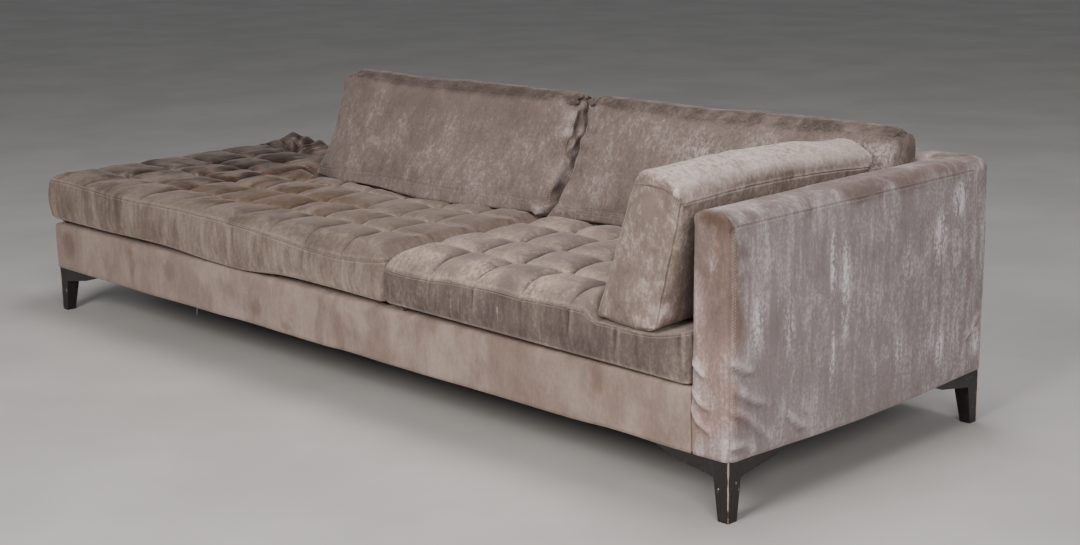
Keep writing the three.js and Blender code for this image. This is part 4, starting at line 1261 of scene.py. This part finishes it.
def make_back(material):
    """The back's cover, sewn to the arm's along the mitre."""
    seam_low, seam_high = BACK_START + 0.012, RIGHT - 0.06
    lines = [
        grid_lines(BACK_START, RIGHT + PAST_MITRE, BACK_STEP, WALL_END_ROUND, 0, (seam_low, seam_high)),
        grid_lines(BACK_INSIDE, BACK, BACK_STEP, WALL_ROUND, WALL_ROUND),
        grid_lines(HEM, ARM_TOP, BACK_STEP, 0, WALL_ROUND, (TOP_SEAM,)),
    ]

    def keep(x, y, z):
        buried = z < INNER_FOOT and y < BACK - 0.02
        return z > HEM and not buried and x < RIGHT + 0.02

    sides = (BACK_INSIDE, BACK)
    piece, points = wall_cover("back_upholstery", lines, keep, 1, sides, BACK_START, -1, material)
    behind = smooth_step(normals_of(piece)[:, 1], 0.3, 0.7)
    amount = cover_slack(points, 81) + mitre_groove(points)
    relief = behind * seam_relief(panel_seam(points[:, 0], points[:, 2], seam_low, seam_high))
    # painted shade in the seam's groove, paler worn pile on its ridges
    rub(piece, relief * SHADE_AND_WEAR_PER_METRE)
    swell(piece, amount + relief)
    thicken(piece)
    rows = []
    for offset in (-SEAM_HALF, SEAM_HALF):
        rows.append([(x, BACK + 0.01, TOP_SEAM + offset) for x in np.arange(seam_low, seam_high, 0.01)])
        for end in (seam_low, seam_high):
            rows.append([(end + offset, BACK + 0.01, z) for z in np.arange(HEM + 0.004, TOP_SEAM, 0.01)])
    return piece, [on_surface(piece, row) for row in rows]


LIP = 0.088  # how far the base's cover turns in over the top of its rails
BASE_STEP, BASE_ROUND = 0.009, 0.010


def make_base(name, part, material):
    """One panel of the base: front, left or back. All three are parts of one rounded box."""
    right = ARM_INSIDE - 0.0003
    lines = [
        grid_lines(LEFT, right, BASE_STEP, BASE_ROUND),
        grid_lines(FRONT, BACK, BASE_STEP, BASE_ROUND, BASE_ROUND),
        grid_lines(HEM, BASE_TOP, BASE_STEP, 0, BASE_ROUND),
    ]

    def keep(x, y, z):
        if z == HEM or x == right:
            return False
        from_left, from_front, from_back = x - LEFT, y - FRONT, BACK - y
        nearest = min(from_left, from_front, from_back)
        if nearest > LIP:
            return False
        if part == "left":
            return from_left == nearest
        if part == "front":
            return from_front == nearest and from_left > nearest
        return from_back == nearest and from_left > nearest and x < BACK_START

    points, faces = box_shell(*lines, keep)
    low, high = (LEFT, FRONT, HEM - 0.1), (right + 0.1, BACK, BASE_TOP)
    points = rounded(points, low, high, (BASE_ROUND, BASE_ROUND, BASE_ROUND))
    piece = make_object(name, points, faces, material)
    points = points_of(piece)
    broad, fine = (0.08, 92, 0.001, (1, 1, 2)), (0.025, 93, 0.0004, (1, 1, 4))
    amount = layered(points, (0.3, 91, 0.002), broad, fine, start=0.002)
    swell(piece, amount * smooth_step(-points[:, 2], -BASE_TOP, -BASE_TOP + 0.02))
    points = points_of(piece)
    near_hem = smooth_step(-points[:, 2], -HEM - 0.05, -HEM)
    points[:, 2] += near_hem * noise(points * (1, 1, 0), 0.16, 94) * 0.0022
    move_points(piece, points)
    thicken(piece)
    return piece


def hang_thread(piece, path, width, material):
    """Joins a loose thread, drawn out of the hem, to a cover's mesh."""
    mesh = bmesh.new()
    mesh.from_mesh(piece.data)
    sides = 5
    turns = [2 * math.pi * k / sides for k in range(sides)]
    rings = []
    for point in path:
        spots = [Vector(point) + Vector((math.cos(t), math.sin(t), 0)) * width / 2 for t in turns]
        rings.append([mesh.verts.new(spot) for spot in spots])
    made = [mesh.faces.new(rings[0][::-1]), mesh.faces.new(rings[-1])]
    for lower, upper in zip(rings, rings[1:]):
        for k in range(sides):
            n = (k + 1) % sides
            made.append(mesh.faces.new((lower[k], lower[n], upper[n], upper[k])))
    for face in made:
        face.material_index = 1
        face.smooth = True
    mesh.normal_update()
    mesh.to_mesh(piece.data)
    mesh.free()
    piece.data.materials.append(material)


# ---------- what the frame's own pieces are made of ----------
LEG_INSET = 0.004  # from the cover's face to the leg's outer face
WORN_EDGE = 0.0006  # half the width over which the lacquer fades into bare wood


def make_lacquer():
    """Black stain and satin lacquer over beech, rubbed through to the wood along the outer corners."""
    material, tree, place = new_material("black_satin_lacquer")
    grain = blotches(tree, place, 0.004, (1, 1, 12), 0.3, 0.7, detail=4)
    dust = blotches(tree, place, 0.05, (1, 1, 1), 0.45, 0.7, detail=4)
    stained = weigh(tree, 0.0, [(grain, 0.5), (dust, 0.5)])
    middle = ((LEFT + RIGHT) / 2, (FRONT + BACK) / 2, 0)
    inputs = {0: (place, "Object"), 1: middle}
    centred = add_node(tree, "ShaderNodeVectorMath", {"operation": "SUBTRACT"}, inputs)
    folded = add_node(tree, "ShaderNodeVectorMath", {"operation": "ABSOLUTE"}, {0: (centred, 0)})
    corner = (RIGHT - middle[0] - LEG_INSET, BACK - middle[1] - LEG_INSET, 0)
    away = add_node(tree, "ShaderNodeVectorMath", {"operation": "SUBTRACT"}, {0: (folded, 0), 1: corner})
    level = add_node(tree, "ShaderNodeVectorMath", {"operation": "MULTIPLY"}, {0: (away, 0), 1: (1, 1, 0)})
    gap = add_node(tree, "ShaderNodeVectorMath", {"operation": "LENGTH"}, {0: (level, 0)})
    rubbed = blotches(tree, place, 0.012, (1, 1, 3.5), 0.35, 0.6, detail=4)
    reach = weigh(tree, 0.0, [(rubbed, -0.0027), ((gap, "Value"), 1.0)])
    inputs = {"Value": reach, "From Min": WORN_EDGE, "From Max": -WORN_EDGE}
    worn = add_node(tree, "ShaderNodeMapRange", inputs=inputs)
    chips = blotches(tree, place, 0.009, (1, 1, 1.6), 0.715, 0.73, detail=2)
    bare = add_node(tree, "ShaderNodeMath", {"operation": "MAXIMUM"}, {0: (worn, 0), 1: chips})
    finish_material(
        tree,
        relief=[(grain, 0.0003, 0.4)],
        Base_Color=shaded(tree, stained, ("#171413", "#1f1b1a", "#342e2b"), [((bare, 0), "#b39a86")]),
        Roughness=weigh(tree, 0.34, [(dust, 0.22), ((bare, 0), 0.25)]),
        Specular_IOR_Level=0.5,
    )
    return material


def make_timber():
    """Sawn pine: pale bands of grain along the board."""
    material, tree, place = new_material("sawn_pine")
    bands = blotches(tree, place, 0.010, (12, 1, 1), 0.3, 0.7, detail=4, bend=0.6)
    fibre = blotches(tree, place, 0.002, (14, 1, 1), 0.3, 0.7, detail=2)
    colour = shaded(tree, weigh(tree, 0.0, [(bands, 0.7), (fibre, 0.3)]), ("#a97f52", "#c8a06d", "#dcbc8c"))
    finish_material(tree, [(fibre, 0.0004, 0.5)], Base_Color=colour, Roughness=0.72)
    return material


def make_hardboard():
    """Pressed wood fibre, brown and finely mottled."""
    material, tree, place = new_material("hardboard")
    fibre = blotches(tree, place, 0.003, (2, 1, 1), 0.3, 0.7, detail=5)
    colour = shaded(tree, fibre, ("#57402c", "#6b5038", "#7d6147"))
    finish_material(tree, [(fibre, 0.0002, 0.5)], Base_Color=colour, Roughness=0.62)
    return material


CELLS_PER_METRE = 900


def make_foam():
    """Cut polyurethane foam: open cells about a millimetre wide, yellowed in patches by age."""
    material, tree, place = new_material("polyurethane_foam")
    age = blotches(tree, place, 0.15, detail=3)
    inputs = {"Vector": (place, "Object"), "Scale": CELLS_PER_METRE}
    cells = add_node(tree, "ShaderNodeTexVoronoi", inputs=inputs)
    colour = shaded(tree, age, ("#cfb98a", "#dccb9f", "#e6dab8"))
    finish_material(tree, [((cells, 0), 0.0006, 0.6)], Base_Color=colour, Roughness=0.95)
    return material


WAVE_PER_METRE = 0.314  # the wave pattern's scale at which its bands are a metre apart


def make_woven(name, colours, thread):
    """A plain woven cloth with threads so many metres wide."""
    material, tree, place = new_material(name)
    waves = []
    for axis in "XYZ":
        inputs = {"Vector": (place, "Object"), "Scale": WAVE_PER_METRE / thread}
        inputs.update({"Distortion": 0.6, "Detail": 1.0})
        waves.append((add_node(tree, "ShaderNodeTexWave", {"bands_direction": axis}, inputs), "Fac"))
    weave = weigh(tree, 0.0, [(wave, 0.33) for wave in waves])
    slub = blotches(tree, place, thread * 4, (3, 1, 1), 0.3, 0.7)
    colour = shaded(tree, weigh(tree, 0.0, [(weave, 0.6), (slub, 0.4)]), colours)
    finish_material(tree, [(weave, thread * 0.4, 0.7)], Base_Color=colour, Roughness=0.9)
    return material


def make_zinc():
    """Bright zinc plate on steel screws, dulled in small patches."""
    material, tree, place = new_material("zinc_plated_steel")
    dull = blotches(tree, place, 0.002, detail=4)
    colour = shaded(tree, dull, ("#9d9c96", "#b9b8b2"))
    finish_material(tree, Base_Color=colour, Metallic=1.0, Roughness=weigh(tree, 0.3, [(dull, 0.2)]))
    return material


def make_thread():
    """Polyester sewing thread, twisted and slightly shiny, a shade paler than the velvet."""
    material, tree, place = new_material("sewing_thread")
    twist = blotches(tree, place, 0.0012, (1, 1, 1), 0.3, 0.7, detail=2)
    colour = shaded(tree, twist, ("#a09088", "#b8aaa2"))
    finish_material(tree, [(twist, 0.0002, 0.5)], Base_Color=colour, Roughness=0.5)
    return material


def finish_frame():
    """Gives each of the frame's visible pieces its own material in place of its plain colour."""
    finishes = {
        "black_lacquered_wood": make_lacquer(),
        "frame_timber": make_timber(),
        "hardboard": make_hardboard(),
        "foam": make_foam(),
        "webbing": make_woven("jute_webbing", ("#5b4a34", "#8b7351", "#a78e68"), 0.0015),
        "lining_cloth": make_woven("black_lining_cloth", ("#141313", "#201f1f", "#2d2b2b"), 0.0008),
        "screw_steel": make_zinc(),
    }
    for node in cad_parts.values():
        for slot in node.material_slots:
            slot.material = finishes.get(slot.material.name, slot.material)


# ---------- putting it together ----------
def make_floor():
    """The pale floor of a studio, which is not a part of the sofa."""
    bpy.ops.mesh.primitive_plane_add(size=60)
    floor = bpy.context.object
    floor.name = "studio_floor"
    material, tree, place = new_material("pale_studio_floor")
    cloud = blotches(tree, place, 0.6, detail=4)
    colour = shaded(tree, cloud, ("#bdbbb8", "#c6c4c1"))
    finish_material(tree, Base_Color=colour, Roughness=0.6)
    floor.data.materials.append(material)


def dress(piece, node):
    """Puts a finished soft piece on the sofa's body, in place of the frame's plain one."""
    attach(piece, "root")
    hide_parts(node)


make_camera()
make_floor()
make_room_light()
make_softbox("key", (1.5, -4.7, 3.0), (0, 0, 0.3), (1.8, 1.8), 195, KEY_WHITE)
make_softbox("side", (4.4, -2.6, 2.2), (0.8, 0, 0.3), (1.6, 1.6), 97, FILL_WHITE)
make_softbox("top", (0.6, 0.4, 4.5), (0.3, 0, 0.3), (2.5, 1.5), 95, FILL_WHITE)

seat_velvet = make_velvet(
    "seat_velvet",
    ("#423a37", "#766963", "#b39f91"),
    streaks=0.14,
    flecks=0.18,
    crushed=0.12,
    # painted light: upward-facing surfaces are painted paler
    lean=(0, 0, 0.09),
    laid=(
        ((0.36, -0.43, 0.43), (0.09, 0.08, 0.04), 0.10),
        ((0.61, -0.45, 0.43), (0.06, 0.07, 0.05), 0.14),
        ((0.82, -0.45, 0.43), (0.05, 0.07, 0.05), 0.14),
        ((0.52, -0.42, 0.43), (0.05, 0.06, 0.05), -0.12),
        ((0.74, -0.44, 0.43), (0.04, 0.07, 0.05), -0.18),
        ((0.97, -0.42, 0.43), (0.06, 0.07, 0.05), -0.15),
        ((0.547, FRONT, 0.352), (0.0035, 0.03, 0.034), 0.30),
        ((0.578, FRONT, 0.350), (0.0030, 0.03, 0.022), 0.22),
        ((0.628, FRONT, 0.372), (0.0030, 0.03, 0.034), 0.26),
        ((0.716, FRONT, 0.356), (0.0030, 0.03, 0.032), 0.34),
    ),
)
chaise_velvet = make_velvet(
    "chaise_velvet",
    ("#443933", "#796a61", "#b1a197"),
    streaks=0.16,
    clouds=0.14,
    flecks=0.16,
    # painted shade: upward-facing surfaces are painted darker
    lean=(0, 0, -0.10),
    stains_and_shade=(
        ((-0.62, -0.24, 0.44), (0.34, 0.16, 0.10), "#dccdb9", 0.9),
        ((-0.95, 0.03, 0.44), (0.30, 0.20, 0.10), "#d6c7b8", 0.9),
        ((-0.36, -0.42, 0.44), (0.22, 0.07, 0.06), "#d3d6dc", 0.6),
        ((-0.08, -0.44, 0.44), (0.12, 0.06, 0.06), "#d3d6dc", 0.5),
        # painted shade: this darker patch over the back left end stands for light falling off there
        ((-1.29, 0.18, 0.47), (0.44, 0.53, 0.11), "#877e7e", 0.95),
    ),
)
pillow_velvet = make_velvet(
    "back_cushion_velvet",
    ("#4b403c", "#7f716b", "#beb0ac"),
    nap=(1, 1.5, 2.2),
    clouds=0.16,
    streaks=0.16,
    flecks=0.24,
    crushed=0.05,
    # painted shade: upward-facing surfaces are painted darker
    lean=(0, 0, -0.12),
    laid=(
        # painted shade over the left cushion's upper part
        ((-0.32, 0.27, 0.70), (0.60, 0.10, 0.06), -0.07),
        ((0.72, 0.25, 0.62), (0.10, 0.06, 0.08), 0.14),
        ((1.20, 0.24, 0.68), (0.12, 0.10, 0.05), 0.16),
    ),
)
bolster_velvet = make_velvet(
    "arm_cushion_velvet",
    ("#4e413b", "#85756d", "#cfbfba"),
    nap=(1, 1, 2),
    flecks=0.20,
    crushed=0.05,
    # painted light: the top and the slopes that face right and back are painted paler, those facing away
    # darker
    lean=(0.10, 0.05, 0.27),
    laid=(
        # painted sheen: a paler band along the top
        ((1.22, -0.14, 0.748), (0.085, 0.55, 0.030), 0.14),
        ((1.184, -0.493, 0.672), (0.050, 0.02, 0.035), -0.15),
    ),
)
arm_velvet = make_velvet(
    "arm_velvet",
    ("#5e5454", "#978b8b", "#dfd6d9"),
    nap=(1, 1, 6),
    stroke=0.020,
    streaks=0.14,
    flecks=0.20,
    crushed=0.08,
    laid=[
        ((RIGHT, y, z), (0.03, width, height), shift)
        for y, z, width, height, shift in (
            # a broad, soft, paler area over the rear of the side
            (0.40, 0.36, 0.26, 0.36, 0.04),
            (0.365, 0.585, 0.030, 0.045, 0.34),
            (0.286, 0.511, 0.028, 0.065, 0.32),
            (0.148, 0.461, 0.020, 0.055, 0.24),
            (-0.140, 0.520, 0.012, 0.085, 0.38),
            (-0.092, 0.450, 0.016, 0.120, 0.30),
            (-0.135, 0.300, 0.009, 0.080, 0.28),
            (-0.400, 0.430, 0.026, 0.070, 0.16),
            (-0.342, 0.430, 0.022, 0.080, -0.14),
            (-0.292, 0.405, 0.022, 0.065, 0.16),
            (0.295, 0.240, 0.022, 0.060, 0.26),
            (0.122, 0.264, 0.018, 0.050, 0.18),
            (0.461, 0.220, 0.016, 0.040, 0.20),
        )
    ],
    stains_and_shade=(
        ((1.36, FRONT, 0.36), (0.075, 0.04, 0.40), "#f1ddd0", 0.9),
        # a patch that is darker over the upper front
        ((1.36, FRONT, 0.61), (0.10, 0.06, 0.12), "#d4d3ce", 0.9),
        ((1.36, 0.0, ARM_TOP), (0.08, 0.60, 0.03), "#c5b9b2", 0.9),
    ),
)
base_velvet = make_velvet(
    "base_velvet",
    ("#68584f", "#97857c", "#bfada4"),
    streaks=0.10,
    clouds=0.26,
    flecks=0.14,
    stains_and_shade=[
        ((x, FRONT, z), (width, 0.03, height), tint_colour, 0.5)
        for x, z, width, height, tint_colour in (
            (0.95, 0.210, 0.70, 0.30, "#dfdad6"),
            (-1.327, 0.220, 0.024, 0.032, "#c4bab5"),
            (-0.953, 0.233, 0.024, 0.035, "#c4bab5"),
            (-0.740, 0.232, 0.024, 0.022, "#c4bab5"),
            (-0.439, 0.219, 0.024, 0.030, "#c4bab5"),
            (-0.291, 0.196, 0.024, 0.020, "#c4bab5"),
            (-0.158, 0.160, 0.024, 0.012, "#c4bab5"),
            (1.030, 0.245, 0.018, 0.032, "#b5aaa5"),
        )
    ],
)
thread = make_thread()

chaise, chaise_pad = make_chaise(chaise_velvet)
dress(chaise, "seat_cushion_left")
seat, seat_pad = make_seat(seat_velvet)
dress(seat, "seat_cushion_right")
pillow_rows = []
for name, node, x0, x1, end_rounds, seed in (
    ("left_back_pillow", "back_cushion_left", -0.860, 0.226, (0.050, 0.045), 51),
    ("right_back_pillow", "back_cushion_right", 0.238, 1.300, (0.045, 0.062), 55),
):
    pillow, rows = make_back_pillow(name, x0, x1, end_rounds, seed, pillow_velvet)
    dress(pillow, node)
    pillow_rows += rows
bolster, bolster_rows = make_bolster(bolster_velvet)
dress(bolster, "arm_cushion")
arm, arm_rows = make_arm(arm_velvet)
dress(arm, "arm_cover")
back, back_rows = make_back(arm_velvet)
dress(back, "back_cover")
for part in ("front", "left", "back"):
    panel = make_base(f"base_upholstery_{part}", part, base_velvet)
    if part == "front":
        loose = [(-0.598, FRONT + 0.002, 0.143), (-0.599, FRONT - 0.001, 0.134), (-0.603, FRONT, 0.117)]
        hang_thread(panel, loose, 0.0012, thread)
    dress(panel, f"base_cover_{part}")

make_stitches("chaise_stitches", rim_rows(chaise, chaise_pad), thread)
make_stitches("seat_stitches", rim_rows(seat, seat_pad), thread)
make_stitches("back_pillow_stitches", pillow_rows, thread)
make_stitches("arm_bolster_stitches", bolster_rows, thread)
make_stitches("arm_stitches", arm_rows, thread)
make_stitches("back_stitches", back_rows, thread)
finish_frame()
